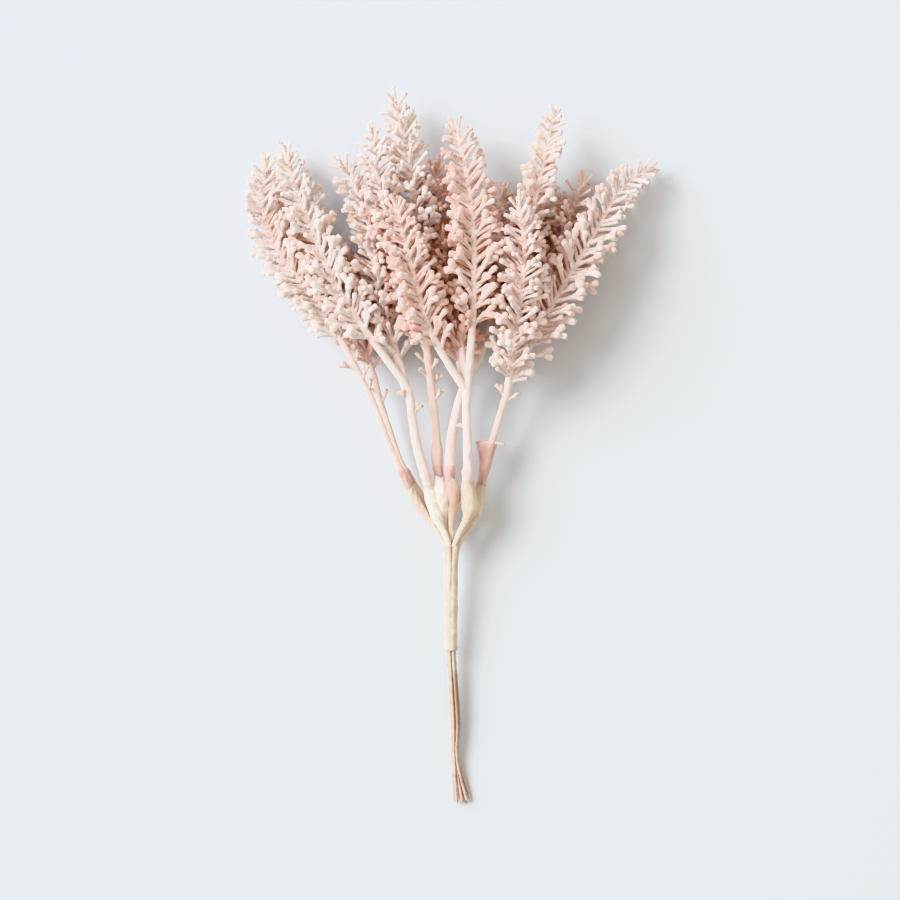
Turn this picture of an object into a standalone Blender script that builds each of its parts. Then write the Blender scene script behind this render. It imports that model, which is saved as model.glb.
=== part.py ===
"""A small bunch of budded flower spikes on paper-covered wires, lying on a flat surface.

Seven pink sprays fork into fourteen spikes. Each spike carries short side stalks that fork into buds. The
foot of a spray is a thicker collar with a hole for its wire, and a sleeve of cream tape is wrapped round the
collar's end and the wire. The seven wires run side by side through one binding of the same tape, and end
free.

X runs across the bunch, Y from the wire ends to the tips, Z up from the surface. The origin is the middle of
the bunch's bounding box, on the surface. Lengths are in metres; the routes are listed in millimetres.
"""

import math
import random
from dataclasses import dataclass

import bmesh
import bpy
import numpy as np

MM = 0.001
UP = np.array([0.0, 0.0, 1.0])
POINTS_A_SPAN = 24
WELD = 0.000001
NEAR_ZERO = 1e-18
SMOOTH_UNDER = math.radians(50)

# Moves every route, so that the finished bunch is centred on the origin, in millimetres
CENTRING = np.array([-0.29, 0.12, 0.0])

# Wires
WIRE_RADIUS = 0.00035
WIRE_SIDES = 6
WIRE_IN_COLLAR = 0.0030
LOOSE_STEPS = 4

# The wires' hexagonal pack, by its pitch: where the sleeves end, inside the binding, and lower down
MOUTH_PITCH = 1.70
BOUND_PITCH = 0.85
LOOSE_PITCH = 1.05

# The middle of the pack: where the sleeves end, below the binding's mouth, at its foot, and lower down
MOUTH_AT = np.array([-0.1, -24.4, 6.2])
NARROW_AT = np.array([-0.2, -28.8, 5.7])
FOOT_AT = np.array([-0.2, -51.4, 3.5])
LOOSE_AT = np.array([0.8, -69.0, 2.3])

# Binding: its mouth is this share of the way from where the sleeves end to where the pack is narrow
BINDING_MOUTH_SHARE = 0.12
BINDING_RADIUS = 0.00177
BINDING_BORE = 0.00140
BINDING_MOUTH_RADIUS = 0.00262
BINDING_MOUTH_BORE = 0.00230
BINDING_SIDES = 12

# How far a bore's cutter runs on past the end of what it cuts
CUT_BEYOND = 0.0005

# Sleeves: the rings' distances from the sleeve's top, and the share of the swelling that each ring has
SLEEVE_RINGS = (0.0, 0.0023, 0.0050, 0.0080, 0.0105)
SLEEVE_SWELL = (0.0, 0.9, 1.0, 0.65, 0.10)
SLEEVE_OVER_COLLAR = 0.0020
SLEEVE_RADIUS = 0.00077
SLEEVE_BORE = 0.00055
SLEEVE_WALL = 0.00027
SLEEVE_SIDES = 8
SLEEVE_END_GAP = 0.0004

# Sprays
COLLAR_HOLE_RADIUS = 0.00055
COLLAR_HOLE_DEPTH = 0.0033
COLLAR_HOLE_SIDES = 8
COLLAR_END_RADIUS = 0.00085
COLLAR_END_SHARE = 0.8
COLLAR_STEP = 0.0009
FIT_GAP = 0.0002
STEM_RADIUS = 0.00110
FORK_RADIUS = 0.00085
TIP_RADIUS = 0.00042
STEM_SIDES = 6
STEM_STEP = 0.0085

# Side stalks and buds
STALK_STEP_SHARE = 0.45
ROOT_RADIUS = 0.00030
STALK_RADIUS = 0.00050
STALK_REACH = 0.0082
TIP_REACH = 0.0038
REACH_FALL = 2.4
FOOT_SHARE = 0.75
FOOT_GAIN = 2.5
REACH_JITTER = (0.92, 1.06)
FORK_AT = 0.42
BUD_RADIUS = 0.00130
BUD_TIP = 0.00100
BUD_STAGGER = 0.00070

# By a stalk's number of buds: the least reach that it takes, and how far the buds stand from its line
LEAST_REACH = {3: 0.0058, 2: 0.0044, 1: 0.0}
BUD_SPREAD = {1: 0.0, 2: 0.00128, 3: 0.00150}

# By the number of buds: the sides of a stalk, the angles where its ring and its buds' squares start, and
# the three points of the ring that each prong starts from, where point 6 is the middle of a ring of three
SIDES = {1: 4, 2: 4, 3: 3}
RING_START = {1: 0.0, 2: -90.0, 3: -60.0}
SQUARE_START = {1: 0.0, 2: -90.0, 3: 90.0}
SHARES = {1: (), 2: ((4, 5, 6), (6, 7, 4)), 3: ((4, 6, 3), (5, 6, 4), (3, 6, 5))}

# The stalks' places along and round the spikes, and how far they open
GOLDEN_ANGLE = math.radians(137.508)
OPEN_AT_FOOT = math.radians(50)
OPEN_AT_TIP = math.radians(34)
OPEN_JITTER = 0.08
ANGLE_JITTER = 0.25
LOOK = 0.0005
SEED = 11

# Room: how near a stalk may come to other sprays, how far a bud's edge may dip under the surface, where it
# is cut flat, and what is tried for a stalk that has no room: shorter, folded in, or turned round the stem
CLEARANCE = 0.0003
DIP = 0.00045
ROD_STEP = 0.002
BUD_CORE = 0.0003
SHORTER = (1.0, 0.82, 0.66)
FOLDED = (1.0, 0.75, 0.5, 0.25)
TURNED = (0.0, 0.3, -0.3, 0.6, -0.6, 0.9, -0.9)

# Finishes: name, colour and roughness
PINK = ("dusty_pink", (0.78, 0.55, 0.47, 1.0), 0.75)
CREAM = ("cream_tape", (0.88, 0.79, 0.62, 1.0), 0.85)
TAN = ("tan_wire", (0.55, 0.36, 0.22, 1.0), 0.70)


@dataclass
class Spike:
    """One budded spike: its route from the fork to the tip, and the share of it that is bare."""

    route: list
    bare: float


@dataclass
class Spray:
    """One spray with its wire and sleeve.

    slot is the wire's place in the pack, elbow a point of the wire inside the sleeve, and end its free end.
    stem runs from the collar's end to the fork.
    """

    name: str
    slot: tuple
    end: tuple
    elbow: tuple
    swelling: float
    collar_radius: float
    collar_length: float
    stem: list
    spikes: list


def slot_at(degrees):
    """A place in the pack's outer ring, in pitches across and up."""
    return (math.cos(math.radians(degrees)), math.sin(math.radians(degrees)))


# The sprays that lie on top come first, and the later ones keep clear of them
SPRAYS = [
    Spray(
        name="centre",
        slot=slot_at(60),
        end=(3.7, -89.3, 1.25),
        elbow=(4.4, -16.4, 8.5),
        swelling=0.00195,
        collar_radius=0.00135,
        collar_length=0.0045,
        stem=[(4.0, -10.6, 9.2), (3.9, 1.4, 10.5), (3.6, 8.9, 11.6), (3.75, 13.1, 12.4)],
        spikes=[
            Spike(
                route=[
                    (4.8, 26.4, 14.5), (5.3, 35.1, 15.5), (5.5, 47.5, 16.0),
                    (4.8, 58.9, 15.5), (3.0, 70.5, 14.0), (0.3, 82.4, 11.0),
                ],
                bare=0.25,
            ),
            Spike(
                route=[
                    (-1.3, 20.9, 14.8), (-6.0, 30.1, 16.8), (-9.8, 43.4, 18.5),
                    (-13.0, 55.9, 19.0), (-14.3, 62.4, 18.2),
                ],
                bare=0.25,
            ),
            Spike(
                route=[
                    (1.3, 23.9, 10.6), (-0.3, 33.0, 8.2), (-2.5, 46.4, 6.4),
                    (-3.7, 58.0, 6.0), (-4.0, 73.4, 5.4),
                ],
                bare=0.24,
            ),
        ],
    ),
    Spray(
        name="right",
        slot=slot_at(0),
        end=(4.6, -88.9, 0.33),
        elbow=(5.6, -18.4, 5.7),
        swelling=0.00150,
        collar_radius=0.00105,
        collar_length=0.0125,
        stem=[
            (7.0, -11.6, 5.6), (8.3, -6.1, 6.4), (9.8, 0.1, 7.5),
            (11.3, 5.1, 8.8), (12.8, 10.1, 9.8), (14.0, 14.9, 10.8),
        ],
        spikes=[
            Spike(
                route=[(15.5, 26.4, 13.5), (17.3, 38.9, 16.5), (17.8, 51.0, 18.0), (15.8, 63.4, 17.2)],
                bare=0.06,
            ),
            Spike(
                route=[
                    (16.5, 27.6, 10.6), (17.5, 38.0, 10.9), (19.5, 55.1, 12.0),
                    (22.8, 70.6, 11.5), (26.0, 86.2, 9.5),
                ],
                bare=0.18,
            ),
            Spike(
                route=[
                    (19.0, 23.9, 10.5), (25.5, 35.9, 10.5), (31.5, 45.9, 10.3), (36.8, 55.1, 9.3),
                    (41.0, 62.4, 7.6), (46.3, 67.5, 6.0), (52.3, 70.4, 5.0),
                ],
                bare=0.12,
            ),
        ],
    ),
    Spray(
        name="left",
        slot=slot_at(120),
        end=(1.2, -90.0, 1.25),
        elbow=(-3.6, -18.2, 8.0),
        swelling=0.00165,
        collar_radius=0.00115,
        collar_length=0.0050,
        stem=[
            (-5.5, -12.1, 8.6), (-7.0, -6.1, 8.8), (-8.5, -1.1, 9.2),
            (-9.8, 6.4, 9.8), (-11.3, 14.4, 10.5),
        ],
        spikes=[
            Spike(
                route=[
                    (-17.0, 22.4, 12.5), (-23.5, 31.4, 13.0), (-29.5, 40.9, 12.0),
                    (-34.3, 52.6, 10.0), (-39.3, 65.1, 8.0), (-42.3, 76.9, 6.0),
                ],
                bare=0.20,
            ),
            Spike(
                route=[
                    (-14.5, 25.1, 9.5), (-18.3, 38.9, 9.6), (-20.3, 53.9, 9.8),
                    (-24.8, 65.6, 8.6), (-30.2, 73.0, 7.0),
                ],
                bare=0.12,
            ),
        ],
    ),
    Spray(
        name="outer_left",
        slot=slot_at(180),
        end=(0.7, -89.7, 0.33),
        elbow=(-6.6, -17.6, 6.9),
        swelling=0.00120,
        collar_radius=0.00088,
        collar_length=0.0070,
        stem=[
            (-9.8, -12.6, 7.4), (-12.8, -6.1, 7.8), (-16.0, 1.4, 8.5),
            (-19.3, 10.1, 9.5), (-23.0, 17.6, 10.4), (-26.3, 23.9, 11.0),
        ],
        spikes=[
            Spike(
                route=[
                    (-33.5, 36.4, 10.0), (-42.2, 46.6, 7.2), (-47.0, 57.6, 5.3),
                    (-47.3, 65.0, 4.7), (-46.2, 73.8, 4.2),
                ],
                bare=0.04,
            ),
        ],
    ),
    Spray(
        name="back_left",
        slot=slot_at(300),
        end=(3.3, -90.1, 0.33),
        elbow=(-2.0, -18.0, 5.2),
        swelling=0.00165,
        collar_radius=0.00115,
        collar_length=0.0048,
        stem=[
            (-2.9, -10.1, 6.0), (-3.8, -3.6, 5.8), (-4.0, 3.9, 6.2),
            (-4.8, 11.4, 7.0), (-5.5, 17.6, 7.6), (-6.0, 22.6, 8.0),
        ],
        spikes=[
            Spike(
                route=[
                    (-7.0, 36.4, 8.4), (-8.4, 49.5, 9.2), (-9.5, 62.6, 9.6),
                    (-11.4, 75.0, 9.2), (-15.2, 89.9, 7.8),
                ],
                bare=0.12,
            ),
            Spike(
                route=[
                    (-8.6, 29.0, 8.4), (-13.3, 45.1, 11.0), (-16.2, 58.0, 12.6),
                    (-18.8, 68.9, 12.4), (-20.3, 81.0, 10.6),
                ],
                bare=0.12,
            ),
        ],
    ),
    Spray(
        name="low_right",
        slot=(0.0, 0.0),
        end=(2.5, -89.5, 1.3),
        elbow=(-0.4, -17.6, 7.6),
        swelling=0.00175,
        collar_radius=0.00125,
        collar_length=0.0048,
        stem=[
            (-0.5, -10.1, 9.0), (-0.5, -3.6, 8.8), (0.0, 2.6, 8.4), (1.0, 7.6, 7.6),
            (2.3, 12.6, 6.9), (4.5, 17.6, 6.4), (7.0, 22.6, 6.2), (8.8, 26.4, 6.2),
        ],
        spikes=[
            Spike(
                route=[(17.0, 35.6, 4.8), (22.3, 42.6, 4.4), (28.2, 53.9, 4.1), (34.0, 69.4, 3.7)],
                bare=0.06,
            ),
            Spike(
                route=[(11.3, 32.6, 5.2), (17.0, 46.9, 4.7), (22.0, 58.0, 4.4), (25.3, 66.9, 3.9)],
                bare=0.06,
            ),
        ],
    ),
    Spray(
        name="low_left",
        slot=slot_at(240),
        end=(1.95, -89.0, 0.33),
        elbow=(-5.2, -18.2, 4.4),
        swelling=0.00140,
        collar_radius=0.00100,
        collar_length=0.0060,
        stem=[
            (-8.8, -11.6, 4.4), (-11.8, -6.1, 4.2), (-13.5, -2.4, 4.2),
            (-16.0, 5.1, 4.6), (-18.0, 11.4, 5.2), (-19.3, 16.4, 5.5),
        ],
        spikes=[
            Spike(route=[(-22.5, 28.1, 4.1), (-24.0, 35.1, 3.8), (-26.3, 50.9, 3.2)], bare=0.08),
        ],
    ),
]


def clear_scene():
    """Removes whatever the scene holds."""
    for obj in list(bpy.data.objects):
        bpy.data.objects.remove(obj)


def new_collection(name):
    """A collection in the scene."""
    group = bpy.data.collections.new(name)
    bpy.context.scene.collection.children.link(group)
    return group


def material(name, colour, roughness):
    """A matte Principled material."""
    found = bpy.data.materials.new(name)
    found.use_nodes = True
    shader = found.node_tree.nodes["Principled BSDF"]
    shader.inputs["Base Color"].default_value = colour
    shader.inputs["Roughness"].default_value = roughness
    shader.inputs["Metallic"].default_value = 0.0
    found.diffuse_color = colour
    return found


def smooth_line(points):
    """A dense Catmull-Rom curve through points in millimetres, as an array in metres."""
    p = np.array(points, float) + CENTRING
    p = np.vstack([2 * p[0] - p[1], p, 2 * p[-1] - p[-2]])
    t = np.linspace(0, 1, POINTS_A_SPAN, endpoint=False)[:, None]
    spans = [
        0.5 * (2 * b + (c - a) * t + (2 * a - 5 * b + 4 * c - d) * t**2 + (3 * b - a - 3 * c + d) * t**3)
        for a, b, c, d in zip(p, p[1:], p[2:], p[3:])
    ]
    return np.vstack([*spans, p[-2]]) * MM


def run_of(line):
    """The distance along a dense line at each of its points."""
    steps = np.linalg.norm(np.diff(line, axis=0), axis=1)
    return np.concatenate([[0.0], np.cumsum(steps)])


def at_distance(line, distance):
    """The points of a dense line at the distances along it."""
    run = run_of(line)
    return np.stack([np.interp(distance, run, line[:, i]) for i in range(3)], axis=-1)


def unit(vector):
    """The vector, one long."""
    return vector / np.linalg.norm(vector)


def split_at(line, point):
    """The two parts of a dense line that meet at its point nearest to a point in millimetres."""
    cut = int(np.argmin(np.linalg.norm(line - (np.array(point) + CENTRING) * MM, axis=1)))
    return line[: cut + 1], line[cut:]


def stem_line(spray):
    """A spray's dense line from its collar's end to its fork."""
    return split_at(smooth_line([*spray.stem, spray.spikes[0].route[0]]), spray.stem[-1])[0]


def spike_line(spray, spike):
    """A spike's dense line from the spray's fork to the spike's end."""
    return split_at(smooth_line([*spray.stem[-2:], *spike.route]), spray.stem[-1])[1]


def pack_point(spray, centre, pitch):
    """A wire's place in the pack round a centre, in millimetres."""
    across, up = spray.slot
    return (centre[0] + pitch * across, centre[1], centre[2] + pitch * up)


def wire_line(spray):
    """A wire's dense line from inside its collar to its free end."""
    inside = at_distance(stem_line(spray), WIRE_IN_COLLAR) / MM - CENTRING
    return smooth_line(
        [
            tuple(inside),
            spray.stem[0],
            spray.elbow,
            pack_point(spray, MOUTH_AT, MOUTH_PITCH),
            pack_point(spray, NARROW_AT, BOUND_PITCH),
            pack_point(spray, 0.5 * (NARROW_AT + FOOT_AT), BOUND_PITCH),
            pack_point(spray, FOOT_AT, BOUND_PITCH),
            pack_point(spray, LOOSE_AT, LOOSE_PITCH),
            spray.end,
        ]
    )


def even_steps(length, step, least):
    """Distances from 0 to a length, about a step apart, and at least so many of them."""
    return np.linspace(0, length, max(least, round(length / step) + 1))


def tube(name, points, radii, sides):
    """A closed mesh tube along the points: a bevelled curve made a mesh, with its caps welded."""
    curve = bpy.data.curves.new(name, "CURVE")
    curve.dimensions = "3D"
    curve.bevel_depth = 1.0
    curve.bevel_resolution = sides // 2 - 2
    curve.use_fill_caps = True
    spline = curve.splines.new("POLY")
    spline.points.add(len(points) - 1)
    for knot, point, radius in zip(spline.points, points, radii):
        knot.co = (*point, 1.0)
        knot.radius = radius
    guide = bpy.data.objects.new(name, curve)
    bpy.context.scene.collection.objects.link(guide)
    graph = bpy.context.evaluated_depsgraph_get()
    mesh = bpy.data.meshes.new_from_object(guide.evaluated_get(graph))
    bpy.data.objects.remove(guide)
    bpy.data.curves.remove(curve)
    bm = bmesh.new()
    bm.from_mesh(mesh)
    bmesh.ops.remove_doubles(bm, verts=bm.verts, dist=WELD)
    bmesh.ops.recalc_face_normals(bm, faces=bm.faces)
    bm.to_mesh(mesh)
    bm.free()
    return bpy.data.objects.new(name, mesh)


def longer(points):
    """The points, with the first and the last moved out along their line."""
    first = points[0] + CUT_BEYOND * unit(points[0] - points[1])
    last = points[-1] + CUT_BEYOND * unit(points[-1] - points[-2])
    return [first, *points[1:-1], last]


def combine(obj, others, operation, solver):
    """Joins the other objects to obj, or cuts them from it, in one Boolean, and removes them."""
    group = new_collection(obj.name + "_tools")
    for other in others:
        group.objects.link(other)
    bpy.context.scene.collection.objects.link(obj)
    modifier = obj.modifiers.new(operation, "BOOLEAN")
    modifier.operation = operation
    modifier.solver = solver
    modifier.operand_type = "COLLECTION"
    modifier.collection = group
    graph = bpy.context.evaluated_depsgraph_get()
    mesh = bpy.data.meshes.new_from_object(obj.evaluated_get(graph))
    obj.modifiers.clear()
    obj.data = mesh
    bpy.context.scene.collection.objects.unlink(obj)
    for other in others:
        bpy.data.objects.remove(other)
    bpy.data.collections.remove(group)


def gaps_to(start, end, rods):
    """The least distance from the line between two points to the line of each rod."""
    a, b = rods[:, 0:3], rods[:, 3:6]
    d1, d2, r = end - start, b - a, start - a
    length1 = d1 @ d1
    length2 = np.einsum("ij,ij->i", d2, d2)
    along = d2 @ d1
    f = np.einsum("ij,ij->i", d2, r)
    c = r @ d1
    s = np.clip((along * f - c * length2) / np.maximum(length1 * length2 - along**2, NEAR_ZERO), 0, 1)
    t = np.clip((along * s + f) / np.maximum(length2, NEAR_ZERO), 0, 1)
    s = np.clip((along * t - c) / max(length1, NEAR_ZERO), 0, 1)
    return np.linalg.norm(r + s[:, None] * d1 - t[:, None] * d2, axis=1)


class Room:
    """The room that is taken, as round-ended rods, listed by what they belong to."""

    def __init__(self):
        """Starts with nothing taken."""
        self.rods = {}

    def take(self, owner, start, end, radius):
        """Takes the room of one rod."""
        rod = np.array([[*start, *end, radius]])
        self.rods[owner] = np.vstack([self.rods[owner], rod]) if owner in self.rods else rod

    def take_line(self, owner, line, radius):
        """Takes the room of a dense line."""
        points = at_distance(line, even_steps(run_of(line)[-1], ROD_STEP, 3))
        for start, end in zip(points, points[1:]):
            self.take(owner, start, end, radius)

    def gap(self, apart_from, start, end, radius):
        """The least gap from a rod to the rods of all owners but some."""
        rods = np.vstack([rods for owner, rods in self.rods.items() if owner not in apart_from])
        return float((gaps_to(start, end, rods) - rods[:, 6] - radius).min())


@dataclass
class Stalk:
    """One side stalk: its root, its direction, the direction of its first prong, its reach and its buds."""

    root: np.ndarray
    direction: np.ndarray
    across: np.ndarray
    reach: float
    count: int

    def fork(self):
        """The point where the stalk forks."""
        return self.root + FORK_AT * self.reach * self.direction

    def prong_turns(self):
        """The prongs' angles round the stalk."""
        return np.arange(self.count) * 360.0 / self.count

    def buds(self):
        """The middles of the buds, at their widest, each a step further back than the last."""
        round_root = self.ring(self.root, BUD_SPREAD[self.count], self.prong_turns())
        along = self.reach - BUD_TIP - BUD_STAGGER * np.arange(self.count)
        return list(round_root + along[:, None] * self.direction)

    def rods(self):
        """The stalk's rods: its shaft, and each prong with its bud."""
        yield self.root, self.fork(), STALK_RADIUS
        for bud in self.buds():
            yield self.fork(), bud, 0.5 * (STALK_RADIUS + BUD_RADIUS)
            yield bud, bud + BUD_CORE * self.direction, BUD_RADIUS

    def ring(self, centre, radius, degrees):
        """Points round a centre, square to the stalk, at angles from its first prong."""
        turns = np.radians(degrees)[:, None]
        side = np.cross(self.direction, self.across)
        return centre + radius * (np.cos(turns) * self.across + np.sin(turns) * side)

    def solid(self):
        """The stalk as a loft, from its root through the ring at its fork to its buds.

        With one bud, the ring is the bud's widest place. With two it is halved, and with three it is split
        into thirds from its middle, so that each prong starts as a triangle, and widens to a square round
        its bud's middle. Every bud ends in a point.
        """
        sides = SIDES[self.count]
        turns = RING_START[self.count] + np.arange(sides) * 360.0 / sides
        middle = self.buds()[0] if self.count == 1 else self.fork()
        radius = BUD_RADIUS if self.count == 1 else STALK_RADIUS
        points = [*self.ring(self.root, ROOT_RADIUS, turns), *self.ring(middle, radius, turns)]
        faces = [tuple(reversed(range(sides)))]
        for i in range(sides):
            n = (i + 1) % sides
            faces.append((i, n, sides + n, sides + i))
        if self.count == 1:
            points.append(middle + BUD_TIP * self.direction)
            faces += [(sides + i, sides + (i + 1) % sides, 2 * sides) for i in range(sides)]
        if self.count == 3:
            points.append(middle)
        corners = SQUARE_START[self.count] + np.arange(0.0, 360.0, 90.0)
        for bud, turn, (p, q, r) in zip(self.buds(), self.prong_turns(), SHARES[self.count]):
            a, b, c, d, tip = range(len(points), len(points) + 5)
            points += [*self.ring(bud, BUD_RADIUS, turn + corners), bud + BUD_TIP * self.direction]
            faces += [(p, q, b, a), (q, r, c, b), (r, d, c), (r, p, d), (p, a, d)]
            faces += [(a, b, tip), (b, c, tip), (c, d, tip), (d, a, tip)]
        mesh = bpy.data.meshes.new("stalk")
        mesh.from_pydata(points, [], faces)
        return bpy.data.objects.new("stalk", mesh)


def bud_count(reach):
    """How many buds a stalk of a given reach has."""
    return max(count for count, least in LEAST_REACH.items() if reach >= least)


def stalk_choices(root, ahead, angle, opened, turn, reach):
    """A stalk as it would grow, and then turned, folded or shortened, with the small changes first."""
    side = unit(np.cross(ahead, UP))
    above = np.cross(side, ahead)
    for share in SHORTER:
        for fold in FOLDED:
            for around in TURNED:
                outward = math.cos(angle + around) * side + math.sin(angle + around) * above
                direction = unit(math.cos(fold * opened) * ahead + math.sin(fold * opened) * outward)
                level = unit(np.cross(direction, above))
                across = math.cos(turn) * level + math.sin(turn) * np.cross(direction, level)
                yield Stalk(root, direction, across, share * reach, bud_count(share * reach))


def is_clear(spray, stalk, room, also_own):
    """Whether a stalk keeps clear of the surface and the other sprays, and its buds of its own spray's."""
    if min(bud[2] for bud in stalk.buds()) < BUD_RADIUS - DIP:
        return False
    own = (spray.name, spray.name + " stalks")
    shaft, *ends = stalk.rods()
    if room.gap(own, *shaft) < CLEARANCE:
        return False
    return all(room.gap(own[:1] if also_own else own, *end) >= CLEARANCE for end in ends)


def stalk_places(head, length):
    """The distances of the stalks' roots along a spike, closer where the stalks are shorter."""
    places = []
    at = head
    while at < length:
        places.append(at)
        at += STALK_STEP_SHARE * full_reach((at - head) / (length - head))
    return [*places[:-1], length] if at - length > length - places[-1] else [*places, length]


def full_reach(t):
    """A stalk's reach by its share of the way up the head."""
    return min(1.0, FOOT_SHARE + FOOT_GAIN * t) * (STALK_REACH + t**REACH_FALL * (TIP_REACH - STALK_REACH))


def grow_stalks(spray, spike, line, room, rng):
    """The side stalks of a spike, round it by the golden angle, and one straight on at its end."""
    length = run_of(line)[-1] - TIP_REACH
    head = spike.bare * length
    found = []
    for i, at in enumerate(stalk_places(head, length)):
        t = (at - head) / (length - head)
        root = at_distance(line, at)
        ahead = unit(at_distance(line, at + LOOK) - at_distance(line, at - LOOK))
        opened = OPEN_AT_FOOT + t * (OPEN_AT_TIP - OPEN_AT_FOOT) + rng.uniform(-OPEN_JITTER, OPEN_JITTER)
        reach = full_reach(t) * rng.uniform(*REACH_JITTER)
        angle = i * GOLDEN_ANGLE + rng.uniform(-ANGLE_JITTER, ANGLE_JITTER)
        turn = rng.uniform(0, math.tau)
        if at == length:
            opened = 0.0
            reach = TIP_REACH
        choices = list(stalk_choices(root, ahead, angle, opened, turn, reach))
        tried = [(stalk, True) for stalk in choices] + [(stalk, False) for stalk in choices]
        stalk = next((stalk for stalk, also_own in tried if is_clear(spray, stalk, room, also_own)), None)
        if stalk:
            found.append(stalk)
            for rod in stalk.rods():
                room.take(spray.name + " stalks", *rod)
    return found


def keep_largest_shell(mesh):
    """Drops any loose scrap and any hollow that the joining sealed."""
    bm = bmesh.new()
    bm.from_mesh(mesh)
    bm.verts.ensure_lookup_table()
    left = set(bm.verts)
    shells = []
    while left:
        shell = set()
        edge = [left.pop()]
        while edge:
            vert = edge.pop()
            shell.add(vert)
            near = {e.other_vert(vert) for e in vert.link_edges} & left
            left -= near
            edge += near
        shells.append(shell)
    largest = max(shells, key=len)
    bmesh.ops.delete(bm, geom=[v for v in bm.verts if v not in largest], context="VERTS")
    bm.to_mesh(mesh)
    bm.free()


def cut_flat(mesh):
    """Cuts off what dips under the surface, and closes the cuts with flat faces."""
    bm = bmesh.new()
    bm.from_mesh(mesh)
    everything = bm.verts[:] + bm.edges[:] + bm.faces[:]
    cut = bmesh.ops.bisect_plane(
        bm, geom=everything, dist=0.1 * WELD, plane_co=(0, 0, 0), plane_no=(0, 0, -1), clear_outer=True
    )
    rims = [e for e in cut["geom_cut"] if isinstance(e, bmesh.types.BMEdge)]
    if rims:
        bmesh.ops.contextual_create(bm, geom=rims)
        bmesh.ops.recalc_face_normals(bm, faces=bm.faces)
    bm.to_mesh(mesh)
    bm.free()


def make_stem(spray):
    """A spray's stem, with its collar and the collar's hole."""
    line = stem_line(spray)
    collar = spray.collar_length
    starts = np.array([0.0, COLLAR_STEP, SLEEVE_OVER_COLLAR, collar, collar + COLLAR_STEP])
    end = collar_end(spray)
    radii = [end, end, spray.collar_radius, spray.collar_radius, STEM_RADIUS]
    rest = even_steps(run_of(line)[-1] - starts[-1], STEM_STEP, 2)
    distances = [*starts, *(starts[-1] + rest[1:])]
    radii += list(np.linspace(STEM_RADIUS, FORK_RADIUS, len(rest))[1:])
    stem = tube("spray_" + spray.name, at_distance(line, distances), radii, STEM_SIDES)
    foot = line[0] - CUT_BEYOND * unit(line[1] - line[0])
    bottom = at_distance(line, COLLAR_HOLE_DEPTH)
    hole = tube("hole", [foot, bottom], [COLLAR_HOLE_RADIUS] * 2, COLLAR_HOLE_SIDES)
    combine(stem, [hole], "DIFFERENCE", "EXACT")
    return stem


def collar_end(spray):
    """The radius of a collar where its sleeve goes over it."""
    return max(COLLAR_END_RADIUS, COLLAR_END_SHARE * spray.collar_radius)


def make_spray(spray, room, rng):
    """A spray: its stem, the spikes' own stems and their side stalks, joined as one body."""
    stem = make_stem(spray)
    pieces = []
    for spike in spray.spikes:
        line = spike_line(spray, spike)
        distances = even_steps(run_of(line)[-1] - 0.5 * TIP_REACH, STEM_STEP, 4)
        radii = np.linspace(FORK_RADIUS, TIP_RADIUS, len(distances))
        pieces.append(tube("branch", at_distance(line, distances), radii, STEM_SIDES))
        stalks = grow_stalks(spray, spike, line, room, rng)
        pieces += [stalk.solid() for stalk in stalks]
    combine(stem, pieces, "UNION", "MANIFOLD")
    keep_largest_shell(stem.data)
    cut_flat(stem.data)
    return stem


def wire_distances(spray, line):
    """Where a wire has a ring: in its collar, at its sleeve's rings, at the binding, and down to its end."""
    top = WIRE_IN_COLLAR - SLEEVE_OVER_COLLAR
    distances = [0.0, *(top + ring for ring in SLEEVE_RINGS)]
    run = run_of(line)
    middle = 0.5 * (NARROW_AT + FOOT_AT)
    for centre, pitch in (
        (MOUTH_AT, MOUTH_PITCH), (NARROW_AT, BOUND_PITCH), (middle, BOUND_PITCH), (FOOT_AT, BOUND_PITCH)
    ):
        place = (np.array(pack_point(spray, centre, pitch)) + CENTRING) * MM
        distances.append(run[np.argmin(np.linalg.norm(line - place, axis=1))])
    distances += list(np.linspace(distances[-1], run[-1], LOOSE_STEPS + 1)[1:])
    return distances


def make_wire(spray):
    """A wire, from inside its collar to its free end."""
    line = wire_line(spray)
    points = at_distance(line, wire_distances(spray, line))
    return tube("wire_" + spray.name, points, [WIRE_RADIUS] * len(points), WIRE_SIDES)


def make_sleeve(spray):
    """A sleeve, swollen where it goes over the collar and slim along the wire, with its bore."""
    line = wire_line(spray)
    rings = len(SLEEVE_RINGS)
    distances = wire_distances(spray, line)[1 : rings + 2]
    distances[-1] -= SLEEVE_END_GAP
    points = at_distance(line, distances)
    over_collar = (collar_end(spray) + FIT_GAP) / math.cos(math.pi / SLEEVE_SIDES)
    lip = over_collar + SLEEVE_WALL
    outer = [SLEEVE_RADIUS + share * (spray.swelling - SLEEVE_RADIUS) for share in SLEEVE_SWELL]
    outer = [max(lip, radius) if i < 2 else radius for i, radius in enumerate(outer)] + [SLEEVE_RADIUS]
    bore = [over_collar] * 2 + [SLEEVE_BORE] * (len(points) - 2)
    sleeve = tube("sleeve_" + spray.name, points, outer, SLEEVE_SIDES)
    cutter = tube("bore", longer(points), bore, SLEEVE_SIDES)
    combine(sleeve, [cutter], "DIFFERENCE", "EXACT")
    return sleeve


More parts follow.
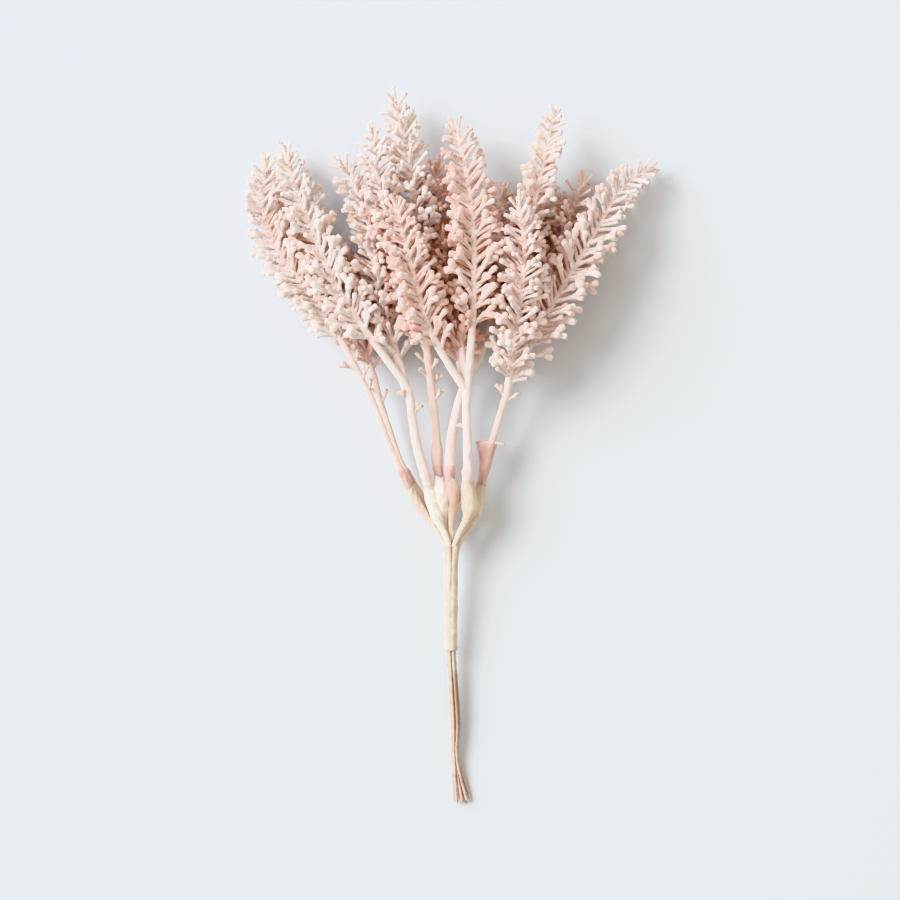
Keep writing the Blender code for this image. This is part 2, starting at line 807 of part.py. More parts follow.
def make_binding():
    """The binding round all the wires: slightly flared at its mouth, then straight."""
    mouth = MOUTH_AT + BINDING_MOUTH_SHARE * (NARROW_AT - MOUTH_AT)
    places = (np.array([mouth, NARROW_AT, FOOT_AT]) + CENTRING) * MM
    outer = [BINDING_MOUTH_RADIUS, BINDING_RADIUS, BINDING_RADIUS]
    bore = [BINDING_MOUTH_BORE, BINDING_BORE, BINDING_BORE]
    binding = tube("binding", places, outer, BINDING_SIDES)
    cutter = tube("bore", longer(places), bore, BINDING_SIDES)
    combine(binding, [cutter], "DIFFERENCE", "EXACT")
    return binding


def main():
    """Builds the bunch."""
    clear_scene()
    bunch = new_collection("budded_spike_bunch")
    pink, cream, tan = (material(*finish) for finish in (PINK, CREAM, TAN))
    room = Room()
    for spray in SPRAYS:
        room.take_line(spray.name, stem_line(spray), STEM_RADIUS)
        for spike in spray.spikes:
            room.take_line(spray.name, spike_line(spray, spike), FORK_RADIUS)
    rng = random.Random(SEED)
    parts = [(make_binding(), cream)]
    for spray in SPRAYS:
        parts += [
            (make_spray(spray, room, rng), pink),
            (make_sleeve(spray), cream),
            (make_wire(spray), tan),
        ]
    for obj, finish in parts:
        obj.data.name = obj.name
        obj.data.materials.clear()
        obj.data.materials.append(finish)
        obj.data.shade_smooth()
        obj.data.set_sharp_from_angle(angle=SMOOTH_UNDER)
        bunch.objects.link(obj)


main()
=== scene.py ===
"""The looks of a small bunch of budded flower spikes, taped to wires and bound together.

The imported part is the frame: seven forked sprays, a taped sleeve and a wire for each, and one taped binding.
Every node is replaced by a finer piece in the same place. The stems, sleeves, wires and binding follow the
same routes as the solids, and each spike gets its full number of side stalks and buds. Buds that would grow
into each other, into a stem, through the surface or out of the part's box are first pushed aside.

Routes and the pack's places are listed in millimetres; everything else is in metres.
"""

from __future__ import annotations

import logging
import math
from dataclasses import dataclass, field, replace
from enum import Enum

import bpy
import numpy as np
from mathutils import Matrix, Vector

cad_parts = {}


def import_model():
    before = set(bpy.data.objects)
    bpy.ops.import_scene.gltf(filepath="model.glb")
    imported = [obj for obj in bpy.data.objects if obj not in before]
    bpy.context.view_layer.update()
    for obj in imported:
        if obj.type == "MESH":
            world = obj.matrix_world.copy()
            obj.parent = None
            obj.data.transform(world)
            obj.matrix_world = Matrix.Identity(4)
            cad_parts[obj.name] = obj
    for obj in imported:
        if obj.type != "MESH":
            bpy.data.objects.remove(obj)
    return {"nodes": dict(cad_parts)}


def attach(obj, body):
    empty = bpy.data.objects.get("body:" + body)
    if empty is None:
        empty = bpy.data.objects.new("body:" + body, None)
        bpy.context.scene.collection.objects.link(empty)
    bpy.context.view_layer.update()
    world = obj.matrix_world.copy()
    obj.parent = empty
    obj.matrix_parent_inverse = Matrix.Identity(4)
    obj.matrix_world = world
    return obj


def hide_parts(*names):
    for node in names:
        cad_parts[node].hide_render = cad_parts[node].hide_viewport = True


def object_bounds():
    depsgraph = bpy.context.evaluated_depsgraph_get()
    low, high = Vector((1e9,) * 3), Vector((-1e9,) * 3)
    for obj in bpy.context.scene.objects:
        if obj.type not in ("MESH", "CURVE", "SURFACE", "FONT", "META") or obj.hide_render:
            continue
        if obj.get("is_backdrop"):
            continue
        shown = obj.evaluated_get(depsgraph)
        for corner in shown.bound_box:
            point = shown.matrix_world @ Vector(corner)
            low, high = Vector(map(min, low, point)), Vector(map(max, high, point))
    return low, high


LOG = logging.getLogger("budded_spikes")

Array = np.ndarray
Knot = tuple[float, float, float]
Colour = tuple[float, float, float]
Pair = tuple[float, float]

MM = 0.001
UP = np.array([0.0, 0.0, 1.0])
TURN = math.tau
GOLDEN_ANGLE = math.radians(137.508)
POINTS_A_SPAN = 24
CENTRING = np.array([-0.29, 0.12, 0.0])
SEED = 23

# The wires' hexagonal pack: its middle and its pitch, from the sleeves' ends to the wires' free ends
MOUTH_AT = np.array([-0.1, -24.4, 6.2])
NARROW_AT = np.array([-0.2, -28.8, 5.7])
FOOT_AT = np.array([-0.2, -51.4, 3.5])
LOOSE_AT = np.array([0.8, -69.0, 2.3])
TIGHT_AT = np.array([0.9, -79.0, 1.55])
MOUTH_PITCH = 1.70
BOUND_PITCH = 0.85
LOOSE_PITCH = 1.00
TIGHT_PITCH = 0.72
WIRE_IN_COLLAR = 0.0030

# The least gap to the surface, and how far above it a rod is still lifted
FLOOR_GAP = 0.0001
FLOOR_SOFTNESS = 0.0003


def unit(vectors: Array) -> Array:
    """The vectors, each one long."""
    return vectors / np.linalg.norm(vectors, axis=-1, keepdims=True)


def smooth_step(low: float, high: float, x: Array) -> Array:
    """0 below low, 1 above high, and 3t^2 - 2t^3 between them."""
    t = np.clip((x - low) / (high - low), 0.0, 1.0)
    return t * t * (3.0 - 2.0 * t)


def between(start: Array, end: Array, share: Array) -> Array:
    """The value that lies that share of the way from start to end."""
    return start + (end - start) * share


def hump(x: Array, at: float, half_width: float, height: float = 1.0) -> Array:
    """A rounded swelling round a place: height times exp(-((x - at) / half_width)^2)."""
    return height * np.exp(-(((x - at) / half_width) ** 2))


def ring(sides: int) -> Array:
    """The angles of a ring's points."""
    return np.arange(sides) * TURN / sides


def clear_of_floor(points: Array, radius: Array) -> Array:
    """Lifts the middles of rings that are too near the surface, ever more gently further up.

    The height z becomes c + k ln(1 + exp((z - c) / k)), with the least height c and the softness k.

    Args:
        points: Points whose last axis is x, y, z.
        radius: The radius of the ring round each point.

    Returns:
        The points, moved up where they need it.
    """
    least = radius + FLOOR_GAP
    lifted = points.copy()
    lifted[..., 2] = least + FLOOR_SOFTNESS * np.logaddexp(0.0, (points[..., 2] - least) / FLOOR_SOFTNESS)
    return lifted


@dataclass(frozen=True)
class Ripple:
    """Gentle unevenness on a tube, between about -1 and 1 times its height.

    It is a sum of waves cos(k turn + m run + phase), with whole numbers k, so that it meets itself round the
    tube. scale is the waves' typical length along the tube.
    """

    height: float
    waves: int
    scale: float

    def on(self, turns: Array, run: Array, rng: np.random.Generator) -> Array:
        """The unevenness.

        Args:
            turns: Angles round the tube.
            run: Distances along the tube.
            rng: The source of chance.

        Returns:
            The unevenness, shaped like the angles and distances together.
        """
        total = 0.0
        for _ in range(self.waves):
            around = rng.integers(1, 6)
            along = rng.normal(0.0, TURN / self.scale)
            total = total + np.cos(around * turns + along * run + rng.uniform(0.0, TURN))
        return self.height * (total / math.sqrt(self.waves / 2))


def near_pairs(a: Array, b: Array, reach: float) -> tuple[Array, Array]:
    """The rows of the pairs of points, one of a and one of b, that are nearer than reach."""
    squares = (a**2).sum(1)[:, None] + (b**2).sum(1)[None] - 2.0 * a @ b.T
    return np.nonzero(squares < reach**2)


def apart(offset: Array, least: Array) -> Array:
    """Half of the move that makes each offset long enough, along itself.

    Args:
        offset: The offsets.
        least: The least length of each.

    Returns:
        The moves.
    """
    distance = np.linalg.norm(offset, axis=1)
    short = np.maximum(least - distance, 0.0)
    return 0.5 * (short / np.maximum(distance, 1e-9))[:, None] * offset


def scatter(rows: Array, vectors: Array, count: int) -> Array:
    """The sum of the vectors for each row."""
    return np.stack([np.bincount(rows, vectors[:, i], count) for i in range(3)], axis=1)


def covered(points: Array, reach: float) -> Array:
    """How much each point lies under others: 0 for none, and nearly 1 for many.

    Every point that is nearer than reach counts by the sine of its height over the first one, and by its
    nearness, and the share is (1 - exp(-sum / 4))^2. The heads use it for painted shade: the more a bud
    lies under others, the deeper it is painted.

    Args:
        points: The points.
        reach: How far the others are still felt.

    Returns:
        The share, for each point.
    """
    i, j = near_pairs(points, points, reach)
    i, j = i[i != j], j[i != j]
    offset = points[j] - points[i]
    distance = np.linalg.norm(offset, axis=1)
    weight = np.maximum(offset[:, 2] / distance, 0.0) * (1.0 - distance / reach)
    return (1.0 - np.exp(-np.bincount(i, weight, len(points)) / 4.0)) ** 2


def link_new(name: str, data: bpy.types.ID) -> bpy.types.Object:
    """Makes an object and links it to the scene.

    Args:
        name: The object's name.
        data: Its mesh, light or camera.

    Returns:
        The object.
    """
    thing = bpy.data.objects.new(name, data)
    bpy.context.scene.collection.objects.link(thing)
    return thing


@dataclass(frozen=True)
class Route:
    """A smooth line in space, kept as closely spaced points."""

    points: Array

    @classmethod
    def through(cls, knots: list[Knot]) -> Route:
        """A Catmull-Rom curve through points in millimetres.

        On each span the point is half of 2b + (c - a)t + (2a - 5b + 4c - d)t^2 + (3b - a - 3c + d)t^3.

        Args:
            knots: The points that the line passes through.

        Returns:
            The line, in metres.
        """
        p = np.array(knots, float) + CENTRING
        p = np.vstack([2 * p[0] - p[1], p, 2 * p[-1] - p[-2]])
        a, b, c, d = (p[i : len(p) - 3 + i, None] for i in range(4))
        t = np.linspace(0.0, 1.0, POINTS_A_SPAN, endpoint=False)[None, :, None]
        curve = 2 * b + (c - a) * t + (2 * a - 5 * b + 4 * c - d) * t**2 + (3 * b - a - 3 * c + d) * t**3
        return cls(np.vstack([0.5 * curve.reshape(-1, 3), p[-2]]) * MM)

    @property
    def run(self) -> Array:
        """The distance along the line at each of its points."""
        steps = np.linalg.norm(np.diff(self.points, axis=0), axis=1)
        return np.concatenate([[0.0], np.cumsum(steps)])

    @property
    def length(self) -> float:
        """The line's length."""
        return float(self.run[-1])

    def at(self, distances: Array) -> Array:
        """The points at distances along the line."""
        run = self.run
        return np.stack([np.interp(distances, run, self.points[:, i]) for i in range(3)], axis=-1)

    def heading(self, distances: Array, reach: float = 0.0006) -> Array:
        """The line's direction at distances along it."""
        low = np.clip(distances - reach, 0.0, self.length - reach)
        return unit(self.at(low + reach) - self.at(low))

    def nearest(self, knot: Knot) -> int:
        """The number of the line's point that is nearest to a knot in millimetres."""
        return int(np.argmin(np.linalg.norm(self.points - (np.array(knot) + CENTRING) * MM, axis=1)))

    def cut_at(self, knot: Knot) -> tuple[Route, Route]:
        """The two parts that meet at the line's point nearest to a knot."""
        cut = self.nearest(knot)
        return Route(self.points[: cut + 1]), Route(self.points[cut:])


class TapeTintAndShade(Enum):
    """How much pink-brown a sleeve's tape takes on: partly the dusky socket showing through the stretched
    tape, and partly painted shade on the sleeves that lie in shade.
    """

    CREAM = 0.0
    SHADED = 0.35
    DUSKY = 0.8


@dataclass(frozen=True)
class Lump:
    """A swelling of a sleeve or stem: its middle and half length along it, and its height."""

    at: float
    half_length: float
    height: float


@dataclass(frozen=True)
class Spur:
    """A short stub on a stem: its distance along it, its turn in degrees, its length and its thickness."""

    at: float
    turn: float
    length: float
    thickness: float = 1.0


@dataclass(frozen=True)
class Spike:
    """One budded spike.

    route runs from the fork to the tip, bare is the share of it without stalks, and parted is how strongly
    the stalks lean away from the top of the stem, to either side. fade is how much paler than the spray's
    its buds are: partly their own fading, and partly painted shade on spikes that lie low behind the
    others. slim is the length of its stalks against the others'.
    """

    route: list[Knot]
    bare: float
    parted: float = 0.0
    fade: float = 0.0
    slim: float = 1.0


@dataclass(frozen=True)
class Spray:
    """One spray with its wire and sleeve.

    slot is the wire's place in the pack, elbow a point of the wire inside the sleeve, and end its free end.
    swelling is the sleeve's greatest radius, and collar the collar's radius and length. stem runs from the
    collar's end to the fork. widths are the stem's radii at the collar and at the fork, blush is how pink the
    bare stem is, socket how dusky the collar is, and fade how pale the buds are: partly their own fading,
    and partly painted light and shade, paler on the lit left and deeper low down behind the others. The
    collar opens by the share flare at its end, and by flap more on its left. bright is how light the tape
    is: partly its own colour, and partly painted light, higher on the sleeves on the lit left and lower on
    those in shade. tint is how much pink-brown the tape takes on: partly the dusky socket through it, and
    partly painted shade. lumps swell the sleeve and bulges the stem. puff moves the sleeve's middle aside,
    in millimetres. strays are single stalks on the bare stem: their distances along it and their turns
    round it, in degrees.
    """

    name: str
    slot: Pair
    end: Knot
    elbow: Knot
    swelling: float
    collar: Pair
    stem: list[Knot]
    spikes: list[Spike]
    widths: Pair = (0.00115, 0.00095)
    blush: float = 0.2
    socket: float = 0.8
    fade: float = 0.05
    bright: float = 0.15
    tint: TapeTintAndShade = TapeTintAndShade.CREAM
    lumps: tuple[Lump, ...] = ()
    bulges: tuple[Lump, ...] = ()
    spurs: tuple[Spur, ...] = ()
    strays: tuple[Pair, ...] = ()
    flare: float = 0.12
    flap: float = 0.0
    puff: Knot = (0.0, 0.0, 0.0)

    @property
    def stem_route(self) -> Route:
        """The line from the collar's end to the fork."""
        return Route.through([*self.stem, self.spikes[0].route[0]]).cut_at(self.stem[-1])[0]

    def spike_route(self, spike: Spike) -> Route:
        """The line from the fork to a spike's end."""
        return Route.through([*self.stem[-2:], *spike.route]).cut_at(self.stem[-1])[1]

    def pack_point(self, middle: Array, pitch: float) -> Knot:
        """The wire's place in the pack round a middle, in millimetres."""
        across, up = self.slot
        return (middle[0] + pitch * across, middle[1], middle[2] + pitch * up)

    @property
    def wire_route(self) -> Route:
        """The wire's line.

        Returns:
            The line from inside the collar, through the wire's places in the pack, to its free end.
        """
        inside = self.stem_route.at(np.array(WIRE_IN_COLLAR)) / MM - CENTRING
        pack = (
            (MOUTH_AT, MOUTH_PITCH),
            (NARROW_AT, BOUND_PITCH),
            (0.5 * (NARROW_AT + FOOT_AT), BOUND_PITCH),
            (FOOT_AT, BOUND_PITCH),
            (LOOSE_AT, LOOSE_PITCH),
            (TIGHT_AT, TIGHT_PITCH),
        )
        packed = [self.pack_point(middle, pitch) for middle, pitch in pack]
        return Route.through([tuple(inside), self.stem[0], self.elbow, *packed, self.end])


def slot_at(degrees: float) -> Pair:
    """A place in the pack's outer ring, in pitches across and up."""
    return (math.cos(math.radians(degrees)), math.sin(math.radians(degrees)))


# Each spray's and spike's fade is partly its own fading and partly painted light and shade: paler on the lit
# left, deeper low down behind the others. The sleeves' bright and tint paint light and shade on the tape as
# well.
SPRAYS = [
    Spray(
        name="centre",
        slot=slot_at(60), end=(3.7, -89.3, 1.25), elbow=(4.4, -16.4, 8.5),
        swelling=0.00195, collar=(0.00135, 0.0045), widths=(0.00122, 0.00105),
        blush=0.05, fade=-0.15, socket=0.15, bright=0.0,
        lumps=(Lump(0.0068, 0.0022, 0.0004),),
        spurs=(Spur(0.0152, 195, 0.0019, 1.4),),
        stem=[(4.0, -10.6, 9.2), (3.9, 1.4, 10.5), (3.6, 8.9, 11.6), (3.75, 13.1, 12.4)],
        spikes=[
            Spike([(4.8, 26.4, 14.5), (5.3, 35.1, 15.5), (5.5, 47.5, 16.0), (4.8, 58.9, 15.5),
                   (3.0, 70.5, 14.0), (0.3, 82.4, 11.0)], bare=0.25, parted=1.0),
            Spike([(-1.3, 20.9, 14.8), (-6.0, 30.1, 16.8), (-9.8, 43.4, 18.5), (-13.0, 55.9, 19.0),
                   (-14.3, 62.4, 18.2)], bare=0.25, parted=0.6),
            # These two spikes lie low behind the others, and their fade paints them deeper as shade.
            Spike([(1.3, 23.9, 10.6), (-0.3, 33.0, 8.2), (-2.5, 46.4, 6.4), (-3.7, 58.0, 6.0),
                   (-4.0, 73.4, 5.4)], bare=0.11, fade=-0.6),
            Spike([(2.6, 23.0, 12.0), (0.9, 33.0, 11.6), (-1.2, 44.0, 11.2), (-2.8, 55.0, 10.6)],
                  bare=0.25, fade=-0.75),
        ],
    ),
    Spray(
        name="right",
        slot=slot_at(0), end=(4.6, -88.9, 0.33), elbow=(5.6, -18.4, 5.7),
        swelling=0.00150, collar=(0.00105, 0.0125), widths=(0.00085, 0.00088),
        blush=0.3, fade=0.4, flare=0.45, flap=1.9,
        spurs=(Spur(0.0126, 15, 0.0028),),
        strays=((0.0242, 10), (0.0252, 170)),
        stem=[(7.0, -11.6, 5.6), (8.3, -6.1, 6.4), (9.8, 0.1, 7.5),
              (11.3, 5.1, 8.8), (12.8, 10.1, 9.8), (14.0, 14.9, 10.8)],
        spikes=[
            Spike([(15.5, 26.4, 13.5), (17.3, 38.9, 16.5), (17.8, 51.0, 18.0), (15.8, 63.4, 17.2)],
                  bare=0.01, parted=0.5),
            Spike([(16.5, 27.6, 10.6), (17.5, 38.0, 10.9), (19.5, 55.1, 12.0), (22.8, 70.6, 11.5),
                   (26.0, 86.2, 9.5)], bare=0.60, parted=1.0, slim=0.68),
            Spike([(19.0, 23.9, 10.5), (25.5, 35.9, 10.5), (31.5, 45.9, 10.3), (36.8, 55.1, 9.3),
                   (41.0, 62.4, 7.6), (46.3, 67.5, 6.0), (52.3, 70.4, 5.0)], bare=0.12, parted=1.0),
        ],
    ),
    Spray(
        name="left",
        slot=slot_at(120), end=(1.2, -90.0, 1.25), elbow=(-3.6, -18.2, 8.0),
        swelling=0.00165, collar=(0.00115, 0.0050), widths=(0.00132, 0.00100),
        blush=0.1, fade=0.85, socket=0.15, bright=1.0,
        lumps=(Lump(0.0085, 0.0014, 0.0002),),
        strays=((0.0205, 15), (0.0245, 150)),
        stem=[(-5.5, -12.1, 8.6), (-7.0, -6.1, 8.8), (-8.5, -1.1, 9.2), (-9.8, 6.4, 9.8),
              (-11.3, 14.4, 10.5)],
        spikes=[
            Spike([(-17.0, 22.4, 12.5), (-23.5, 31.4, 13.0), (-29.5, 40.9, 12.0), (-34.3, 52.6, 10.0),
                   (-39.3, 65.1, 8.0), (-42.3, 76.9, 6.0)], bare=0.20, parted=0.6),
            Spike([(-14.5, 25.1, 9.5), (-18.3, 38.9, 9.6), (-20.3, 53.9, 9.8), (-24.8, 65.6, 8.6),
                   (-30.2, 73.0, 7.0)], bare=0.12, fade=-0.3),
        ],
    ),
    Spray(
        name="outer_left",
        slot=slot_at(180), end=(0.7, -89.7, 0.33), elbow=(-6.6, -17.6, 6.9),
        swelling=0.00120, collar=(0.00088, 0.0070), widths=(0.00074, 0.00070),
        blush=0.5, fade=0.9, bright=0.7, tint=TapeTintAndShade.SHADED,
        strays=((0.0290, 10), (0.0320, 25), (0.0350, 170), (0.0365, 0)),
        stem=[(-9.8, -12.6, 7.4), (-12.8, -6.1, 7.8), (-16.0, 1.4, 8.5),
              (-19.3, 10.1, 9.5), (-23.0, 17.6, 10.4), (-26.3, 23.9, 11.0)],
        spikes=[
            Spike([(-33.5, 36.4, 10.0), (-42.2, 46.6, 7.2), (-47.0, 57.6, 5.3), (-47.3, 65.0, 4.7),
                   (-46.2, 73.8, 4.2)], bare=0.04, parted=0.9),
        ],
    ),
    Spray(
        name="back_left",
        slot=slot_at(300), end=(3.3, -90.1, 0.33), elbow=(-2.0, -18.0, 5.2),
        swelling=0.00165, collar=(0.00115, 0.0048), widths=(0.00110, 0.00090),
        blush=0.6, fade=0.9, socket=0.4, bright=1.0, puff=(0.1, 0.0, 2.2),
        lumps=(Lump(0.0052, 0.0040, 0.00055),),
        bulges=(Lump(0.0078, 0.0030, 0.00055),),
        strays=((0.0215, 20), (0.0255, -15), (0.0275, 160), (0.0292, 30), (0.0310, 185)),
        stem=[(-2.9, -10.1, 6.0), (-3.8, -3.6, 5.8), (-4.0, 3.9, 6.2),
              (-4.8, 11.4, 7.0), (-5.5, 17.6, 7.6), (-6.0, 22.6, 8.0)],
        spikes=[
            Spike([(-7.0, 36.4, 8.4), (-8.4, 49.5, 9.2), (-9.5, 62.6, 9.6), (-11.4, 75.0, 9.2),
                   (-15.2, 89.9, 7.8)], bare=0.04),
            Spike([(-8.6, 29.0, 8.4), (-13.3, 45.1, 11.0), (-16.2, 58.0, 12.6), (-18.8, 68.9, 12.4),
                   (-20.3, 81.0, 10.6)], bare=0.04),
        ],
    ),
    Spray(
        name="low_right",
        slot=(0.0, 0.0), end=(2.5, -89.5, 1.3), elbow=(-0.4, -17.6, 7.6),
        swelling=0.00175, collar=(0.00125, 0.0048), widths=(0.00125, 0.00100),
        blush=0.1, fade=-0.35, tint=TapeTintAndShade.DUSKY, puff=(0.75, 0.0, -0.3),
        lumps=(Lump(0.0040, 0.0016, 0.00015),),
        stem=[(-0.5, -10.1, 9.0), (-0.5, -3.6, 8.8), (0.0, 2.6, 8.4), (1.0, 7.6, 7.6),
              (2.3, 12.6, 6.9), (4.5, 17.6, 6.4), (7.0, 22.6, 6.2), (8.8, 26.4, 6.2)],
        spikes=[
            Spike([(17.0, 35.6, 4.8), (22.3, 42.6, 4.4), (28.2, 53.9, 4.1), (34.0, 69.4, 3.7)], bare=0.06),
            Spike([(11.3, 32.6, 5.2), (17.0, 46.9, 4.7), (22.0, 58.0, 4.4), (25.3, 66.9, 3.9)], bare=0.06),
            Spike([(9.6, 34.0, 5.6), (10.3, 45.0, 5.2), (11.6, 56.0, 4.8), (13.4, 66.5, 4.4)], bare=0.10),
        ],
    ),
    Spray(
        name="low_left",
        slot=slot_at(240), end=(1.95, -89.0, 0.33), elbow=(-5.2, -18.2, 4.4),
        swelling=0.00140, collar=(0.00100, 0.0060), widths=(0.00074, 0.00070),
        blush=0.6, fade=-0.3, tint=TapeTintAndShade.SHADED,
        strays=((0.0245, 15), (0.0270, 165)),
        stem=[(-8.8, -11.6, 4.4), (-11.8, -6.1, 4.2), (-13.5, -2.4, 4.2),
              (-16.0, 5.1, 4.6), (-18.0, 11.4, 5.2), (-19.3, 16.4, 5.5)],
        spikes=[Spike([(-22.5, 28.1, 4.1), (-24.0, 35.1, 3.8), (-26.3, 50.9, 3.2)], bare=0.08)],
    ),
]


@dataclass
class Skin:
    """A mesh in the making: rings of points with the faces between them, and values at the points."""

    points: list[Array] = field(default_factory=list)
    quads: list[Array] = field(default_factory=list)
    fans: list[Array] = field(default_factory=list)
    quad_maps: list[Array] = field(default_factory=list)
    fan_maps: list[Array] = field(default_factory=list)
    values: dict[str, list[Array]] = field(default_factory=dict)
    count: int = 0

    def add_tubes(
        self,
        centres: Array,
        radii: Array,
        guides: Array,
        headings: Array | None = None,
        caps: tuple[Array | float, Array | float] = (0.0, 0.0),
        **values: Array | float,
    ) -> None:
        """Adds closed tubes, all at once.

        A ring's points are centre + radius (cos(turn) across + sin(turn) level), where across is square to
        the tube's heading and its guide, and level is square to both. Each end is closed by a fan of
        triangles to a pole.

        Args:
            centres: The rings' middles, by tube and ring.
            radii: The rings' radii, by tube, ring and side.
            guides: For each tube, a direction that its line never takes.
            headings: The tube's direction at each ring, or None to take it from the middles.
            caps: How far the first and the last pole stand out from their rings.
            **values: Numbers for the finish, by tube and ring, or also by side, or fewer.
        """
        tubes, rings, sides = radii.shape
        if headings is None:
            headings = unit(np.gradient(centres, axis=1))
        across = unit(np.cross(headings, guides[:, None, :]))
        level = np.cross(headings, across)
        turns = ring(sides)[:, None]
        wheel = across[:, :, None] * np.cos(turns) + level[:, :, None] * np.sin(turns)
        skin = (centres[:, :, None] + radii[..., None] * wheel).reshape(tubes, -1, 3)
        first = centres[:, :1] - np.reshape(caps[0], (-1, 1, 1)) * headings[:, :1]
        last = centres[:, -1:] + np.reshape(caps[1], (-1, 1, 1)) * headings[:, -1:]
        self.points.append(np.concatenate([skin, first, last], axis=1).reshape(-1, 3))

        a_tube = rings * sides + 2
        starts = (self.count + np.arange(tubes) * a_tube)[:, None, None]
        row, side = np.arange(rings - 1)[:, None] * sides, np.arange(sides)
        after = (side + 1) % sides
        quad = np.stack([row + side, row + after, row + sides + after, row + sides + side], axis=-1)
        self.quads.append((starts + quad.reshape(-1, 4)).reshape(-1, 4))
        end, pole = (rings - 1) * sides, np.full(sides, rings * sides)
        fan = [np.stack([pole, after, side], -1), np.stack([pole + 1, end + side, end + after], -1)]
        self.fans.append((starts + np.concatenate(fan)).reshape(-1, 3))
        self._map(centres, sides)

        for name, value in values.items():
            value = value if np.ndim(value) == 3 else np.broadcast_to(value, (tubes, rings))[:, :, None]
            value = np.broadcast_to(value, radii.shape)
            parts = [value.reshape(tubes, -1), value[:, :1].mean(axis=2), value[:, -1:].mean(axis=2)]
            self.values.setdefault(name, []).append(np.concatenate(parts, axis=1).ravel())
        self.count += tubes * a_tube

    def _map(self, centres: Array, sides: int) -> None:
        """Maps the tubes just added: u is the share of a turn, and v the distance along the tube.

        Args:
            centres: The rings' middles, by tube and ring.
            sides: The points of a ring.
        """
        tubes = len(centres)
        steps = np.linalg.norm(np.diff(centres, axis=1), axis=2)
        along = np.concatenate([np.zeros((tubes, 1)), np.cumsum(steps, axis=1)], axis=1)
        turn = np.arange(sides) / sides
        wide = turn + 1.0 / sides
        low, high = along[:, :-1, None], along[:, 1:, None]
        places = ((turn, low), (wide, low), (wide, high), (turn, high))
        corners = [np.broadcast_arrays(u, v) for u, v in places]
        self.quad_maps.append(np.stack([np.stack(c, -1) for c in corners], axis=-2).reshape(-1, 2))
        corner = np.stack(np.broadcast_arrays(turn, along[:, [0, -1], None]), -1)
        self.fan_maps.append(np.stack([corner] * 3, axis=-2).reshape(-1, 2))

    def add_tube(
        self, centres: Array, headings: Array, radii: Array, cap: float = 0.0, **values: Array | float
    ) -> None:
        """Adds one closed tube.

        Args:
            centres: The rings' middles.
            headings: The tube's direction at each ring.
            radii: The rings' radii, by ring and side.
            cap: How far the last pole stands out from its ring.
            **values: Numbers for the finish, by ring, by ring and side, or one for all.
        """
        values = {name: np.asarray(value)[None] for name, value in values.items()}
        self.add_tubes(centres[None], radii[None], UP[None], headings[None], (0.0, cap), **values)

    def build(self, name: str, box: tuple[Array, Array]) -> bpy.types.Object:
        """Makes the object, kept inside the part's box.

        Args:
            name: The piece's name.
            box: The lowest and the highest corner that the piece may reach.

        Returns:
            The new object, linked to the scene.
        """
        points = np.clip(np.concatenate(self.points), *box).astype(np.float32)
        quads, fans = np.concatenate(self.quads), np.concatenate(self.fans)
        corners = np.concatenate([quads.ravel(), fans.ravel()]).astype(np.int32)
        starts = np.concatenate([np.arange(len(quads)) * 4, 4 * len(quads) + np.arange(len(fans)) * 3])
        mesh = bpy.data.meshes.new(name)
        mesh.vertices.add(len(points))
        mesh.vertices.foreach_set("co", points.ravel())
        mesh.loops.add(len(corners))
        mesh.loops.foreach_set("vertex_index", corners)
        mesh.polygons.add(len(starts))
        mesh.polygons.foreach_set("loop_start", starts.astype(np.int32))
        mesh.update(calc_edges=True)
        mesh.polygons.foreach_set("use_smooth", np.ones(len(starts), bool))
        places = np.concatenate([*self.quad_maps, *self.fan_maps]).astype(np.float32)
        mesh.uv_layers.new(name="Wrap").data.foreach_set("uv", places.ravel())
        for key, parts in self.values.items():
            value = mesh.attributes.new(key, "FLOAT", "POINT")
            value.data.foreach_set("value", np.concatenate(parts).astype(np.float32))
        mesh.validate()
        LOG.info("%s: %d triangles", name, 2 * len(quads) + len(fans))
        return link_new(name, mesh)


